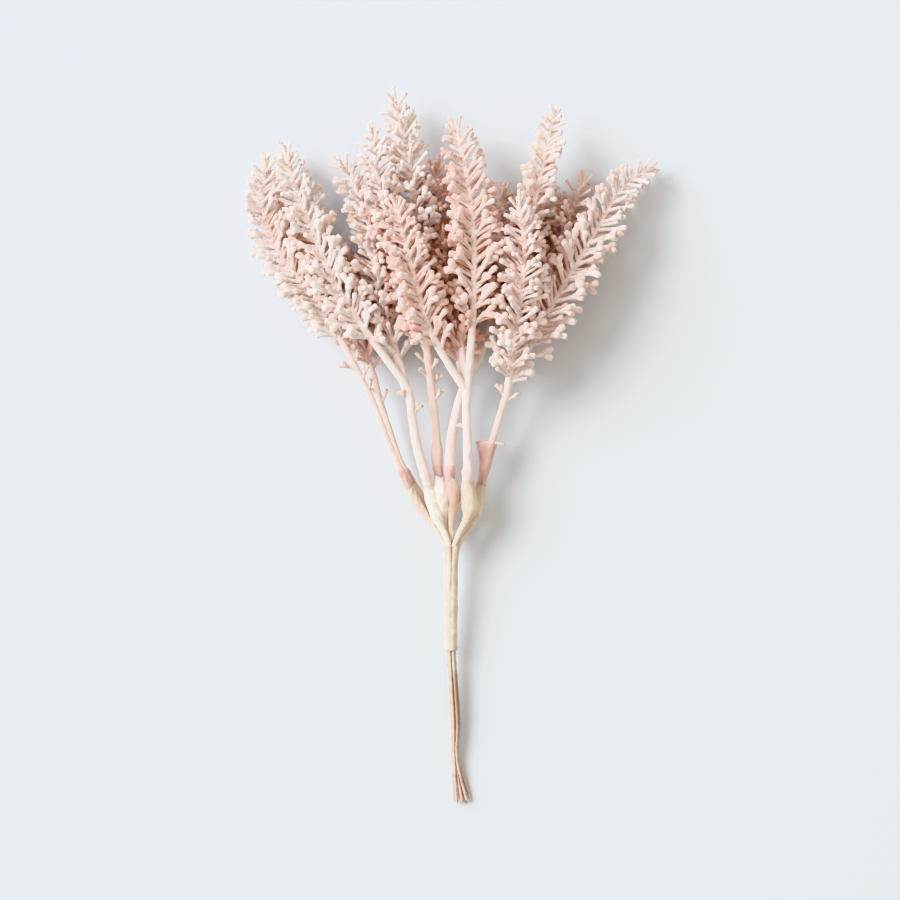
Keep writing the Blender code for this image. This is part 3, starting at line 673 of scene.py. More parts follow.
class Graph:
    """A material's nodes, added and joined one by one."""

    def __init__(self, name: str) -> None:
        """Starts a material with only its shader and output.

        Args:
            name: The material's name.
        """
        self.material = bpy.data.materials.new(name)
        self.material.use_nodes = True
        self.tree = self.material.node_tree
        self.shader = self.tree.nodes["Principled BSDF"]

    def add(
        self, kind: str, inputs: dict[str | int, object] | None = None, **settings: object
    ) -> bpy.types.Node:
        """Adds a node.

        Args:
            kind: The node's type, without its ShaderNode prefix.
            inputs: For each input, a value, or a socket to join to it.
            **settings: The node's own properties.

        Returns:
            The node.
        """
        node = self.tree.nodes.new("ShaderNode" + kind)
        for key, value in settings.items():
            setattr(node, key, value)
        for key, value in (inputs or {}).items():
            self.set(node.inputs[key], value)
        return node

    def set(self, socket: bpy.types.NodeSocket, value: object) -> None:
        """Gives an input a value, or joins a socket to it.

        Args:
            socket: The input.
            value: The value or the socket.
        """
        if isinstance(value, bpy.types.NodeSocket):
            self.tree.links.new(value, socket)
        else:
            socket.default_value = value

    def shade(self, **inputs: object) -> bpy.types.Material:
        """Sets the shader's inputs and hands over the material.

        Args:
            **inputs: For each input, named with underscores for its spaces, a value or a socket.

        Returns:
            The material.
        """
        for key, value in inputs.items():
            self.set(self.shader.inputs[key.replace("_", " ")], value)
        return self.material

    def value(self, name: str) -> bpy.types.NodeSocket:
        """One of the piece's own values."""
        return self.add("Attribute", attribute_name=name).outputs["Fac"]

    def math(self, operation: str, a: object, b: object, clamp: bool = False) -> bpy.types.NodeSocket:
        """The result of one calculation."""
        return self.add("Math", {0: a, 1: b}, operation=operation, use_clamp=clamp).outputs[0]

    def mix(self, share: object, a: object, b: object) -> bpy.types.NodeSocket:
        """A colour that lies that share of the way from a to b."""
        a, b = (x if isinstance(x, bpy.types.NodeSocket) else (*x, 1.0) for x in (a, b))
        return self.add("Mix", {0: share, 6: a, 7: b}, data_type="RGBA").outputs[2]

    def noise(self, scale: float, detail: float, stretch: Pair | None = None) -> bpy.types.NodeSocket:
        """Cloudy noise, on Object coordinates or on the piece's map.

        Args:
            scale: How fine the noise is.
            detail: How many finer layers it has.
            stretch: How fine it is round and along the map, or None for Object coordinates.

        Returns:
            The noise, from 0 to 1.
        """
        if stretch is None:
            place = self.add("TexCoord").outputs["Object"]
        else:
            wrap = self.add("UVMap", uv_map="Wrap").outputs[0]
            place = self.add("Mapping", {"Vector": wrap, "Scale": (*stretch, 1.0)}).outputs[0]
        return self.add("TexNoise", {"Vector": place, "Scale": scale, "Detail": detail}).outputs["Fac"]

    def range(self, value: object, low: float, high: float, *to: float) -> bpy.types.NodeSocket:
        """A value carried from the range low to high to another, and held at its ends."""
        inputs = {"Value": value, "From Min": low, "From Max": high, "To Min": to[0], "To Max": to[1]}
        return self.add("MapRange", inputs).outputs[0]

    def bump(self, height: object, distance: float) -> bpy.types.NodeSocket:
        """A surface relief of that height."""
        return self.add("Bump", {"Height": height, "Distance": distance}).outputs[0]


@dataclass(frozen=True)
class DustyPlastic:
    """Soft moulded plastic under a flocked, dusty coat: whitish on bare stems and pink on the buds."""

    stem: Colour = (0.93, 0.82, 0.765)
    blush: Colour = (0.90, 0.68, 0.57)
    bud: Colour = (0.93, 0.73, 0.645)
    # The pale colour is partly the dusty coat, and partly painted light on the lit left heads and a painted
    # highlight on the buds' tops.
    pale: Colour = (0.97, 0.87, 0.82)
    # The deeper colour is partly the plastic's own deeper pink, and partly painted shade under other buds and
    # low down behind the others.
    deep: Colour = (0.86, 0.47, 0.35)
    socket: Colour = (0.76, 0.46, 0.39)
    dusk: Colour = (0.46, 0.34, 0.31)
    grain: float = 0.00005

    def material(self) -> bpy.types.Material:
        """Makes the material.

        The colour goes from the stem's to the bud's by the value tone, then towards pale above 0 and towards
        deep below 0 by the value variety and cloudy noise, towards socket and dusk by the values of those
        names, and a fine grain lightens the coat. The value variety holds random tone, each spray's and
        spike's fading, and
        painted light and shade: deeper under other buds, towards the stalks' roots and low down behind the
        others, paler on the lit left, and a painted highlight on each bud's top.

        Returns:
            The material.
        """
        g = Graph("dusty_pink_plastic")
        bare = g.mix(g.value("blush"), self.stem, self.blush)
        colour = g.mix(g.value("tone"), bare, self.bud)
        drift = g.math("ADD", g.value("variety"), g.range(g.noise(160.0, 3.0), 0.3, 0.7, -0.18, 0.18))
        colour = g.mix(g.range(drift, 0.0, 1.0, 0.0, 0.85), colour, self.pale)
        colour = g.mix(g.range(drift, -1.0, 0.0, 0.85, 0.0), colour, self.deep)
        colour = g.mix(g.value("socket"), colour, self.socket)
        colour = g.mix(g.value("dusk"), colour, self.dusk)
        fine = g.noise(2600.0, 4.0)
        return g.shade(
            Base_Color=g.mix(g.range(fine, 0.55, 0.8, 0.0, 0.15), colour, self.pale),
            Roughness=g.range(fine, 0.3, 0.7, 0.72, 0.9),
            Normal=g.bump(g.noise(1500.0, 6.0), self.grain),
            Specular_IOR_Level=0.15,
            Diffuse_Roughness=0.5,
            Sheen_Weight=0.4,
            Sheen_Roughness=0.6,
            Subsurface_Weight=0.2,
            Subsurface_Radius=(1.0, 0.7, 0.55),
            Subsurface_Scale=0.0006,
        )


@dataclass(frozen=True)
class CrepeTape:
    """Waxed crepe paper tape, stretched as it is wound: cream, with fine lengthwise creases."""

    cream: Colour = (0.79, 0.64, 0.50)
    # The lighter cream, which also paints light on the sleeves on the lit left.
    light: Colour = (1.0, 0.92, 0.83)
    # Darker turn edges, and painted shade in the creases, the grooves and the hollows.
    fold: Colour = (0.60, 0.39, 0.25)
    # The dusky plastic through the tape, and painted shade on the sleeves in shade.
    stain: Colour = (0.68, 0.42, 0.32)
    crease_stretch: Pair = (14.0, 500.0)
    relief: float = 0.00008

    def material(self) -> bpy.types.Material:
        """Makes the material.

        Noise that is stretched along the map gives the creases, as relief and as painted shade in their
        hollows. The value bright lightens the tape, partly as its own colour and partly as painted light on
        the sleeves on the lit left. The value fold darkens the turns' edges, and paints shade in the creases,
        in the grooves between strands and inside the hollows. The value stain lets the dusky plastic show
        through, and paints shade on the sleeves that lie in shade.

        Returns:
            The material.
        """
        g = Graph("cream_crepe_tape")
        crease = g.noise(1.6, 4.0, self.crease_stretch)
        cloud = g.noise(420.0, 4.0)
        # The value bright is partly the tape's own lightness and partly painted light: higher on the sleeves
        # on the lit left.
        lightness = g.math("ADD", g.value("bright"), g.range(cloud, 0.35, 0.7, -0.25, 0.35), clamp=True)
        colour = g.mix(lightness, self.cream, self.light)
        # Painted shade in the creases' hollows, and by the value fold at the turns' edges, in the grooves and
        # in the hollows.
        colour = g.mix(g.range(crease, 0.52, 0.75, 0.0, 0.22), colour, self.fold)
        colour = g.mix(g.value("fold"), colour, self.fold)
        # The value stain shows the dusky plastic through the tape, and paints shade on the sleeves in shade.
        patchy = g.math("MULTIPLY", g.value("stain"), g.range(cloud, 0.3, 0.65, 0.65, 1.15), clamp=True)
        relief = g.math("ADD", crease, g.math("MULTIPLY", g.noise(2500.0, 3.0), 0.5))
        return g.shade(
            Base_Color=g.mix(patchy, colour, self.stain),
            Roughness=0.72,
            Normal=g.bump(relief, self.relief),
            Specular_IOR_Level=0.3,
            Subsurface_Weight=0.1,
            Subsurface_Radius=(1.0, 0.8, 0.6),
            Subsurface_Scale=0.0006,
        )


@dataclass(frozen=True)
class PaperWire:
    """Steel wire wound in thin tan paper, with the bare steel at its cut end."""

    paper: Colour = (0.65, 0.47, 0.365)
    glint: Colour = (0.79, 0.64, 0.55)
    cream: Colour = (0.84, 0.73, 0.62)
    tan: Colour = (0.42, 0.25, 0.16)
    seam: Colour = (0.34, 0.19, 0.11)
    steel: Colour = (0.35, 0.34, 0.33)
    fibre_stretch: Pair = (7.0, 260.0)
    relief: float = 0.00005

    def material(self) -> bpy.types.Material:
        """Makes the material.

        Noise that is stretched along the map gives the paper's fibres, and the value seam darkens the edge of
        the winding. The values cream and tan turn the paper paler or browner, and core turns the cut end to
        steel.

        Returns:
            The material.
        """
        g = Graph("paper_covered_wire")
        fibre = g.noise(1.5, 5.0, self.fibre_stretch)
        colour = g.mix(g.range(g.noise(300.0, 3.0), 0.35, 0.68, 0.0, 0.85), self.paper, self.glint)
        colour = g.mix(g.value("cream"), colour, self.cream)
        colour = g.mix(g.value("tan"), colour, self.tan)
        colour = g.mix(g.range(fibre, 0.55, 0.8, 0.0, 0.5), colour, self.seam)
        colour = g.mix(g.value("seam"), colour, self.seam)
        core = g.value("core")
        return g.shade(
            Base_Color=g.mix(core, colour, self.steel),
            Metallic=core,
            Roughness=g.range(core, 0.0, 1.0, 0.62, 0.35),
            Normal=g.bump(fibre, self.relief),
            Specular_IOR_Level=0.35,
        )


@dataclass(frozen=True)
class PaleFloor:
    """A plain pale surface, very slightly blue and hardly cloudy."""

    colour: Colour = (0.735, 0.745, 0.76)
    cloud: float = 0.985

    def material(self) -> bpy.types.Material:
        """Makes the material.

        Returns:
            The material.
        """
        g = Graph("pale_floor")
        colour = g.mix(g.noise(9.0, 3.0), self.colour, tuple(self.cloud * c for c in self.colour))
        return g.shade(Base_Color=colour, Roughness=0.6, Specular_IOR_Level=0.3)


@dataclass
class Curls:
    """Short curved rods, one row for each: stalks, or the prongs that they fork into.

    A rod's line is start + length (first s + (last - first) s^2 / 2), so it turns evenly from its first
    direction to its last. Its end is then pushed aside, and the rest of it by s^2 times as much.
    """

    start: Array
    first: Array
    last: Array
    side: Array
    length: Array
    push: Array

    @classmethod
    def grown(
        cls,
        route: Route,
        at: Array,
        turn: Array,
        angles: tuple[Array, Array],
        length: Array,
        out: Array | float,
    ) -> Curls:
        """Rods that grow out of a line.

        Args:
            route: The line.
            at: How far along it each rod starts.
            turn: Each rod's turn round it, from its side towards its top.
            angles: The angles from the line's direction to each rod's first and last one.
            length: Each rod's length.
            out: How far from the line each rod starts.

        Returns:
            The rods.
        """
        ahead = route.heading(at)
        side = unit(np.cross(ahead, UP))
        outward = np.cos(turn)[:, None] * side + np.sin(turn)[:, None] * np.cross(side, ahead)
        first, last = (np.cos(a)[..., None] * ahead + np.sin(a)[..., None] * outward for a in angles)
        start = route.at(at) + np.asarray(out)[..., None] * outward
        return cls(start, first, last, unit(np.cross(ahead, outward)), length, np.zeros_like(start))

    @classmethod
    def joined(cls, groups: list[Curls]) -> Curls:
        """The rods of all groups."""
        return cls(*(np.concatenate(parts) for parts in zip(*(vars(group).values() for group in groups))))

    def take(self, rows: Array) -> Curls:
        """Some of the rods."""
        return Curls(*(part[rows] for part in vars(self).values()))

    def at(self, share: Array) -> Array:
        """The points on the rods.

        Args:
            share: Shares of the rods' length, by rod and place.

        Returns:
            The points, by rod and place.
        """
        s = share[..., None]
        turned = self.first[:, None] * s + (self.last - self.first)[:, None] * s**2 / 2
        return self.start[:, None] + self.length[:, None, None] * turned + self.push[:, None] * s**2

    def heading(self, share: Array) -> Array:
        """The rods' directions, before they are pushed, at one share for each."""
        return unit(self.first + (self.last - self.first) * share[:, None])


@dataclass(frozen=True)
class HeadGrowth:
    """How the stalks and buds of a spike grow. Lengths are in metres, and angles in degrees.

    A pair is a value at the head's foot and at its tip, or at a small stalk and a full one, or a range that
    chance picks from, or where along the head a change begins and ends. These pairs are others: stray_rise
    is how far a stray's first and last direction go along the stem for one outwards, variety is the mean and
    the spread of a stalk's random paleness, and dusk_chance and foot_density are the value at the foot and
    what is added above it. under_fade is painted shade: how much deeper the short stalks under the others
    are painted.

    fork_steps are the sizes above which a stalk gets one more prong, with their chances. least_length is in
    bud radii, and the ranges of lengths are shares.
    """

    spacing: float = 0.00086
    reach: float = 0.0082
    tip_reach: float = 0.0038
    reach_fall: float = 2.4
    reach_range: Pair = (0.86, 1.08)
    foot_share: float = 0.75
    foot_gain: float = 2.5
    leave_angle: Pair = (42.0, 56.0)
    leave_jitter: float = 8.0
    open_angle: Pair = (54.0, 60.0)
    open_jitter: float = 16.0
    turn_jitter: float = 0.3
    parting: float = 0.75
    parting_width: float = 0.7
    fork_share: Pair = (0.30, 0.46)
    fork_jitter: float = 0.05
    fork_steps: tuple[Pair, ...] = ((0.1, 0.85), (0.35, 0.80), (0.6, 0.25))
    low_fork_range: Pair = (0.22, 0.38)
    low_size: float = 0.4
    low_chance: float = 0.8
    lean_jitter: float = 0.35
    spread: Pair = (20.0, 40.0)
    lone_spread: float = 0.35
    low_spread: float = 48.0
    low_length: float = 0.42
    low_length_range: Pair = (0.85, 1.1)
    length_range: Pair = (0.90, 1.12)
    least_length: float = 3.2
    bud_radius: Pair = (0.00090, 0.00051)
    bud_range: Pair = (0.72, 1.12)
    under_bud: float = 0.72
    stem_radius: Pair = (0.00100, 0.00048)
    crowding: float = 0.7
    tip_thinning: float = 0.0
    thinning_range: Pair = (0.40, 0.85)
    foot_density: Pair = (0.45, 0.55)
    foot_end: float = 0.16
    closing: float = 0.8
    closing_from: float = 0.94
    root_share: float = 0.55
    stray_length: float = 0.0036
    stray_range: Pair = (0.8, 1.1)
    stray_rise: Pair = (0.9, 1.4)
    stray_out: float = 0.0004
    variety: Pair = (0.26, 0.11)
    bud_variety: float = 0.12
    dusk_chance: Pair = (0.10, 0.30)
    dusk_range: Pair = (0.4, 0.9)
    # Painted shade: the short stalks under the others are painted deeper.
    under_fade: float = -0.4
    stray_fade: float = -0.2

    def under(self) -> HeadGrowth:
        """The growth of the short stalks that stand between the others, near the stem."""
        short = {"spacing": 0.00068, "reach": 0.0054, "tip_reach": 0.0027, "tip_thinning": 0.8}
        return replace(self, **short, leave_angle=(60.0, 60.0), foot_share=0.9)

    def full_reach(self, up: Array) -> Array:
        """A stalk's reach by its share of the way up the head."""
        fallen = self.reach + up**self.reach_fall * (self.tip_reach - self.reach)
        return np.minimum(1.0, self.foot_share + self.foot_gain * up) * fallen

    def places(self, head: float) -> Array:
        """The stalks' shares of the way up a head of that length.

        The stalks stand one spacing apart where they have their full reach, closer where they are shorter,
        and further apart at the foot of the head and by tip_thinning towards its tip. Their running count
        is summed along the head and read backwards at whole numbers.

        Args:
            head: The head's length.

        Returns:
            The shares, from the foot up.
        """
        up = np.linspace(0.0, 1.0, 600)
        at_foot, added = self.foot_density
        thin = at_foot + added * smooth_step(0.0, self.foot_end, up)
        thin = thin * (1.0 - self.tip_thinning * smooth_step(*self.thinning_range, up))
        density = head / self.spacing * thin * (self.reach / self.full_reach(up)) ** self.crowding
        total = np.concatenate([[0.0], np.cumsum(0.5 * (density[1:] + density[:-1]) * np.diff(up))])
        return np.interp(np.arange(0.5, total[-1]), total, up)

    def stalks(self, route: Route, spike: Spike, rng: np.random.Generator) -> tuple[Curls, Array, Array]:
        """The stalks of a spike, round it by the golden angle.

        Args:
            route: The spike's line.
            spike: What it is like.
            rng: The source of chance.

        Returns:
            The stalks, their shares of the way up the head, and how near each is to full size.
        """
        length = route.length - self.tip_reach
        foot = spike.bare * length
        up = self.places(length - foot)
        number = len(up)
        at = foot + up * (length - foot)
        angle = np.arange(number) * GOLDEN_ANGLE + rng.uniform(-self.turn_jitter, self.turn_jitter, number)
        from_top = (angle - TURN / 4 + math.pi) % TURN - math.pi
        parting = spike.parted * self.parting * hump(from_top, 0.0, self.parting_width)
        turn = from_top + parting * np.sign(from_top) + TURN / 4
        closing = 1.0 - self.closing * smooth_step(self.closing_from, 1.0, up)
        angles = tuple(
            np.radians(between(*angle, up) + rng.uniform(-jitter, jitter, number)) * closing
            for angle, jitter in ((self.leave_angle, self.leave_jitter), (self.open_angle, self.open_jitter))
        )
        reach = spike.slim * self.full_reach(up) * rng.uniform(*self.reach_range, number)
        stem = between(*self.stem_radius, at / length)
        size = np.clip((reach - self.tip_reach) / (self.reach - self.tip_reach), 0.0, 1.0)
        return Curls.grown(route, at, turn, angles, reach, self.root_share * stem), up, size

    def strays(self, spray: Spray, rng: np.random.Generator) -> Curls:
        """The single stalks on a spray's bare stem.

        Args:
            spray: The spray.
            rng: The source of chance.

        Returns:
            The stalks.
        """
        at, turn = np.array(spray.strays).T
        length = self.stray_length * rng.uniform(*self.stray_range, len(at))
        angles = np.arctan2(1.0, self.stray_rise)
        return Curls.grown(spray.stem_route, at, np.radians(turn), angles, length, self.stray_out)


@dataclass
class Prongs:
    """The prongs that all the stalks fork into, one row for each, and the bud near the end of each.

    stalk is the row of its stalk, share where on the stalk it starts, and bud the bud's radius. variety is
    how much paler it is than its spray, dusk how dusky its end is, and cover how much the bud lies under
    others, which paints it deeper as shade.
    """

    curls: Curls
    stalk: Array
    share: Array
    bud: Array
    variety: Array
    dusk: Array
    cover: Array


@dataclass
class Stalks:
    """All the side stalks of the bunch, one row for each.

    up is its share of the way up the head, size how near it is to full size, spray the number of its spray,
    and under 1 for the short stalks near the stem and 0 for the others. fade is how pale it is, fork the
    share of its length where it forks, and variety how much paler it is than its spray. fade is partly the
    spray's and spike's own fading and partly painted light and shade, and it holds painted shade on the
    short stalks under the others.
    """

    curls: Curls
    up: Array
    size: Array
    spray: Array
    under: Array
    fade: Array
    fork: Array | None = None
    variety: Array | None = None

    @classmethod
    def grow(cls, growth: HeadGrowth, rng: np.random.Generator) -> Stalks:
        """Grows the stalks of every spike, and the single ones.

        Args:
            growth: How they grow.
            rng: The source of chance.

        Returns:
            The stalks.
        """
        groups = []
        for number, spray in enumerate(SPRAYS):
            for spike in spray.spikes:
                for under, kind in enumerate((growth, growth.under())):
                    curls, up, size = kind.stalks(spray.spike_route(spike), spike, rng)
                    # Paleness: partly the spray's and spike's own fading and partly painted light and shade,
                    # with painted shade on the short stalks under the others.
                    fade = spray.fade + spike.fade + growth.under_fade * under
                    groups.append((curls, up, size * (1 - under), number, under, fade))
            if spray.strays:
                groups.append((growth.strays(spray, rng), 1.0, 0.15, number, 0, growth.stray_fade))
        columns = (
            np.concatenate([np.broadcast_to(group[i], len(group[0].length)) for group in groups])
            for i in range(1, 6)
        )
        return cls(Curls.joined([group[0] for group in groups]), *columns)

    def forked(self, growth: HeadGrowth, rng: np.random.Generator) -> Prongs:
        """Forks the stalks: into one to four prongs at each end, and one more below the fork on some.

        Prong k of n leans from the stalk's direction by the spread, at the turn k / n round it.

        Args:
            growth: How they grow.
            rng: The source of chance.

        Returns:
            The prongs, before the buds have made room for each other.
        """
        size, stalks = self.size, len(self.size)
        jitter = growth.fork_jitter
        fork = between(*growth.fork_share, size) + rng.uniform(-jitter, jitter, stalks)
        chance = rng.uniform(0.0, 1.0, stalks)
        count = 1 + sum((size > least) & (chance < often) for least, often in growth.fork_steps).astype(int)
        low = (size > growth.low_size) & (rng.uniform(0.0, 1.0, stalks) < growth.low_chance)
        self.fork = np.where(count == 1, growth.fork_share[0], fork)

        row = np.concatenate([np.repeat(np.arange(stalks), count), np.flatnonzero(low)])
        number, forked = len(row), int(count.sum())
        is_low = np.arange(number) >= forked
        share = np.where(is_low, rng.uniform(*growth.low_fork_range, number), self.fork[row])
        order = np.arange(forked) - np.repeat(np.cumsum(count) - count, count)
        turn = np.concatenate([order / count[row[:forked]], rng.uniform(0.0, 1.0, number - forked)]) * TURN
        jitter = growth.lean_jitter
        turn += rng.uniform(0.0, TURN, stalks)[row] + rng.uniform(-jitter, jitter, number)

        stalk = self.curls.take(row)
        first, straight = stalk.heading(share), stalk.heading(np.ones(number))
        level = unit(np.cross(straight, stalk.side))
        lean = np.cos(turn)[:, None] * stalk.side + np.sin(turn)[:, None] * level
        spread = np.radians(rng.uniform(*growth.spread, number))
        spread = spread * np.where(count[row] == 1, growth.lone_spread, 1.0)
        spread = np.where(is_low, math.radians(growth.low_spread), spread)[:, None]
        last = np.cos(spread) * straight + np.sin(spread) * lean
        length = stalk.length * (1.0 - share) * rng.uniform(*growth.length_range, number)
        low_length = growth.low_length * stalk.length * rng.uniform(*growth.low_length_range, number)
        bud = between(*growth.bud_radius, smooth_step(0.25, 1.0, self.up)[row])
        bud = bud * rng.uniform(*growth.bud_range, number)
        bud = bud * np.where(self.under[row] == 1, growth.under_bud, 1.0)
        curls = Curls(
            start=stalk.at(share[:, None])[:, 0],
            first=first,
            last=last,
            side=unit(np.cross(first, last + 0.05 * level)),
            length=np.maximum(np.where(is_low, low_length, length), growth.least_length * bud),
            push=np.zeros((number, 3)),
        )
        self.variety = rng.normal(*growth.variety, stalks) + self.fade
        at_foot, added = growth.dusk_chance
        often = at_foot + added * smooth_step(0.35, 0.9, self.up[row])
        return Prongs(
            curls=curls,
            stalk=row,
            share=share,
            bud=bud,
            variety=self.variety[row] + rng.normal(0.0, growth.bud_variety, number),
            dusk=(rng.uniform(0.0, 1.0, number) < often) * rng.uniform(*growth.dusk_range, number),
            cover=np.zeros(number),
        )


@dataclass
class Heads:
    """The budded heads of the whole bunch.

    The rings of a stalk stand at the shaft's shares, with its widths, in radii. The rings of a prong stand at
    its root and at the club's distances from its end, in bud radii, and swell from the prong's own radius to
    the bud's by the club's widths. The club's tones and dusk are values of the finish, and so is
    club_variety, which is painted shade at the bud's neck and a painted highlight on its top.

    In each of the rounds the buds give way by the share give and are drawn back by the share recall. Pairs
    of buds are sought within bud_reach, and of buds and stems within post_reach. A stem counts as balls of
    post_radius, post_step apart. shaft_thin and prong_thin are how thick the rods of the smallest and the
    largest stalks are, shaft_tone is the tone at a stalk's root and what its length adds, and caps are how
    far the ends stand out, in metres and in bud radii. sink is how much deeper a bud or stalk is painted
    for the others above it within cover_reach, and root_depth how much deeper a stalk is painted towards
    its root: both are painted shade.
    """

    stalks: Stalks
    prongs: Prongs
    bud_at: float = 0.75
    bud_gap: float = 1.02
    rounds: int = 24
    give: float = 0.42
    recall: float = 0.04
    bud_reach: float = 0.0042
    post_reach: float = 0.0036
    post_radius: float = 0.0007
    post_step: float = 0.0008
    cover_reach: float = 0.0070
    stalk_share: float = 0.45
    # Painted shade: how much deeper a bud or stalk is painted for the others that lie above it.
    sink: float = 1.25
    bumps: float = 0.05
    past_fork: float = 0.03
    # Painted shade: a stalk is painted deeper towards its root, down among the others.
    root_depth: float = 0.15
    shaft_tone: Pair = (0.35, 0.5)
    shaft_thin: Pair = (0.72, 1.0)
    prong_thin: Pair = (0.75, 1.0)
    ring_gap: float = 0.04
    caps: Pair = (0.00015, 0.10)
    shaft_sides: int = 6
    shaft_radius: float = 0.00053
    shaft_shares: tuple[float, ...] = (0.0, 0.15, 0.45, 0.8, 1.0)
    shaft_widths: tuple[float, ...] = (1.45, 1.10, 0.98, 1.00, 1.15)
    prong_sides: int = 8
    prong_radius: float = 0.00050
    club_rings: tuple[float, ...] = (3.3, 2.4, 1.65, 0.92, 0.38, 0.09)
    club_widths: tuple[float, ...] = (0.0, 0.12, 0.42, 0.84, 1.00, 0.80, 0.42)
    club_tones: tuple[float, ...] = (0.8, 0.85, 0.92, 1.0, 1.0, 1.0, 1.0)
    # Painted shade at a bud's neck and a painted highlight on its top.
    club_variety: tuple[float, ...] = (-0.08, -0.08, -0.04, 0.0, 0.0, 0.02, 0.02)
    club_dusk: tuple[float, ...] = (0.0, 0.0, 0.0, 0.0, 0.1, 0.5, 1.0)

    def make_room(self, box: tuple[Array, Array]) -> None:
        """Pushes the buds apart, away from the stems and the surface, and into the part's box.

        Each bud is a ball. In every round two balls that overlap move apart by a share of the overlap, a ball
        that touches a stem moves away from it, all are drawn a little back to where they grew, and those that
        leave the box are put back on its side.

        Args:
            box: The lowest and the highest corner that a bud may reach.
        """
        prongs = self.prongs
        grown = prongs.curls.at(np.full((len(prongs.bud), 1), self.bud_at))[:, 0]
        radius = prongs.bud * self.bud_gap
        low, high = box[0] + radius[:, None], box[1] - radius[:, None]
        lines = [s.stem_route for s in SPRAYS] + [s.spike_route(k) for s in SPRAYS for k in s.spikes]
        posts = np.concatenate([line.at(np.arange(0.0, line.length, self.post_step)) for line in lines])
        centre = grown.copy()
        number = len(centre)
        i, j = near_pairs(centre, centre, self.bud_reach)
        i, j = i[i < j], j[i < j]
        p, q = near_pairs(centre, posts, self.post_reach)
        for _ in range(self.rounds):
            move = apart(centre[i] - centre[j], radius[i] + radius[j])
            shift = scatter(i, move, number) - scatter(j, move, number)
            away = apart(centre[p] - posts[q], radius[p] + self.post_radius)
            shift += 2.0 * scatter(p, away, number)
            centre = np.clip(centre + (self.give * shift + self.recall * (grown - centre)), low, high)
        prongs.curls.push = (centre - grown) / self.bud_at**2
        # How much each bud lies under others, which sets its painted shade.
        prongs.cover = covered(centre, self.cover_reach)
        moved = np.linalg.norm(centre - grown, axis=1).mean() / MM
        LOG.info("buds: %d, moved %.2f mm on average", number, moved)

    def follow(self) -> None:
        """Bends each stalk after its own buds, and starts its prongs where the stalk has moved to."""
        stalks, prongs = self.stalks, self.prongs
        number = len(stalks.fork)
        share = self.stalk_share / np.maximum(np.bincount(prongs.stalk, minlength=number), 1)
        mean = scatter(prongs.stalk, prongs.curls.push, number) * share[:, None]
        stalks.curls.push = mean / np.maximum(stalks.fork, 0.2)[:, None] ** 2 * 0.5
        start = stalks.curls.take(prongs.stalk).at(prongs.share[:, None])[:, 0]
        prongs.curls.push -= start - prongs.curls.start
        prongs.curls.start = start

    def skin(self, number: int, rng: np.random.Generator) -> Skin:
        """The stalks and buds of one spray.

        A stalk is a tube that is wide at its root and its fork. A prong is a tube that swells near its end
        into a round bud, each of its points moved in or out a little. Buds and stalks that lie under others,
        and stalks towards their roots, are painted deeper as shade, and each bud's top is painted paler as a
        highlight.

        Args:
            number: The spray's place in the list.
            rng: The source of chance.

        Returns:
            The mesh in the making.
        """
        skin, stalks, prongs = Skin(), self.stalks, self.prongs
        plain = {"blush": SPRAYS[number].blush, "socket": 0.0}
        buds = np.maximum(np.bincount(prongs.stalk, minlength=len(stalks.spray)), 1)
        # Painted shade: a stalk is deepened by the mean cover of its buds, and each bud by its own cover.
        cover = np.bincount(prongs.stalk, prongs.cover, len(stalks.spray)) / buds
        sink = self.sink + stalks.fade

        rows = np.flatnonzero(stalks.spray == number)
        curls, up = stalks.curls.take(rows), np.array(self.shaft_shares)
        thick = between(*self.shaft_thin, stalks.size[rows, None])
        radii = np.array(self.shaft_widths) * self.shaft_radius * thick
        centres = clear_of_floor(curls.at(up * (stalks.fork[rows, None] + self.past_fork)), radii)
        root_tone, added = self.shaft_tone
        # Painted shade also deepens each stalk towards its root.
        skin.add_tubes(
            centres,
            np.repeat(radii[:, :, None], self.shaft_sides, axis=2),
            curls.side,
            caps=(0.0, self.caps[0]),
            tone=root_tone + added * up,
            variety=(stalks.variety - sink * cover)[rows, None] - self.root_depth * (1.0 - up),
            dusk=0.0,
            **plain,
        )

        rows = np.flatnonzero(stalks.spray[prongs.stalk] == number)
        curls, bud = prongs.curls.take(rows), prongs.bud[rows, None]
        thin = self.prong_radius * between(*self.prong_thin, stalks.size[prongs.stalk[rows], None])
        share = 1.0 - np.array(self.club_rings) * bud / curls.length[:, None]
        least = self.ring_gap * np.arange(1, len(self.club_widths))
        share = np.concatenate([np.zeros_like(bud), np.maximum(share, least)], axis=1)
        radii = between(thin, bud, np.array(self.club_widths))
        bumpy = 1.0 + self.bumps * rng.normal(0.0, 1.0, (*share.shape, self.prong_sides))
        # Painted shade deepens the buds that lie under others.
        outer = prongs.variety - sink[prongs.stalk] * prongs.cover
        skin.add_tubes(
            clear_of_floor(curls.at(share), radii),
            radii[:, :, None] * bumpy,
            curls.side,
            caps=(0.0, self.caps[1] * bud[:, 0]),
            tone=self.club_tones,
            variety=outer[rows, None] + np.array(self.club_variety),
            dusk=prongs.dusk[rows, None] * np.array(self.club_dusk),
            **plain,
        )
        return skin


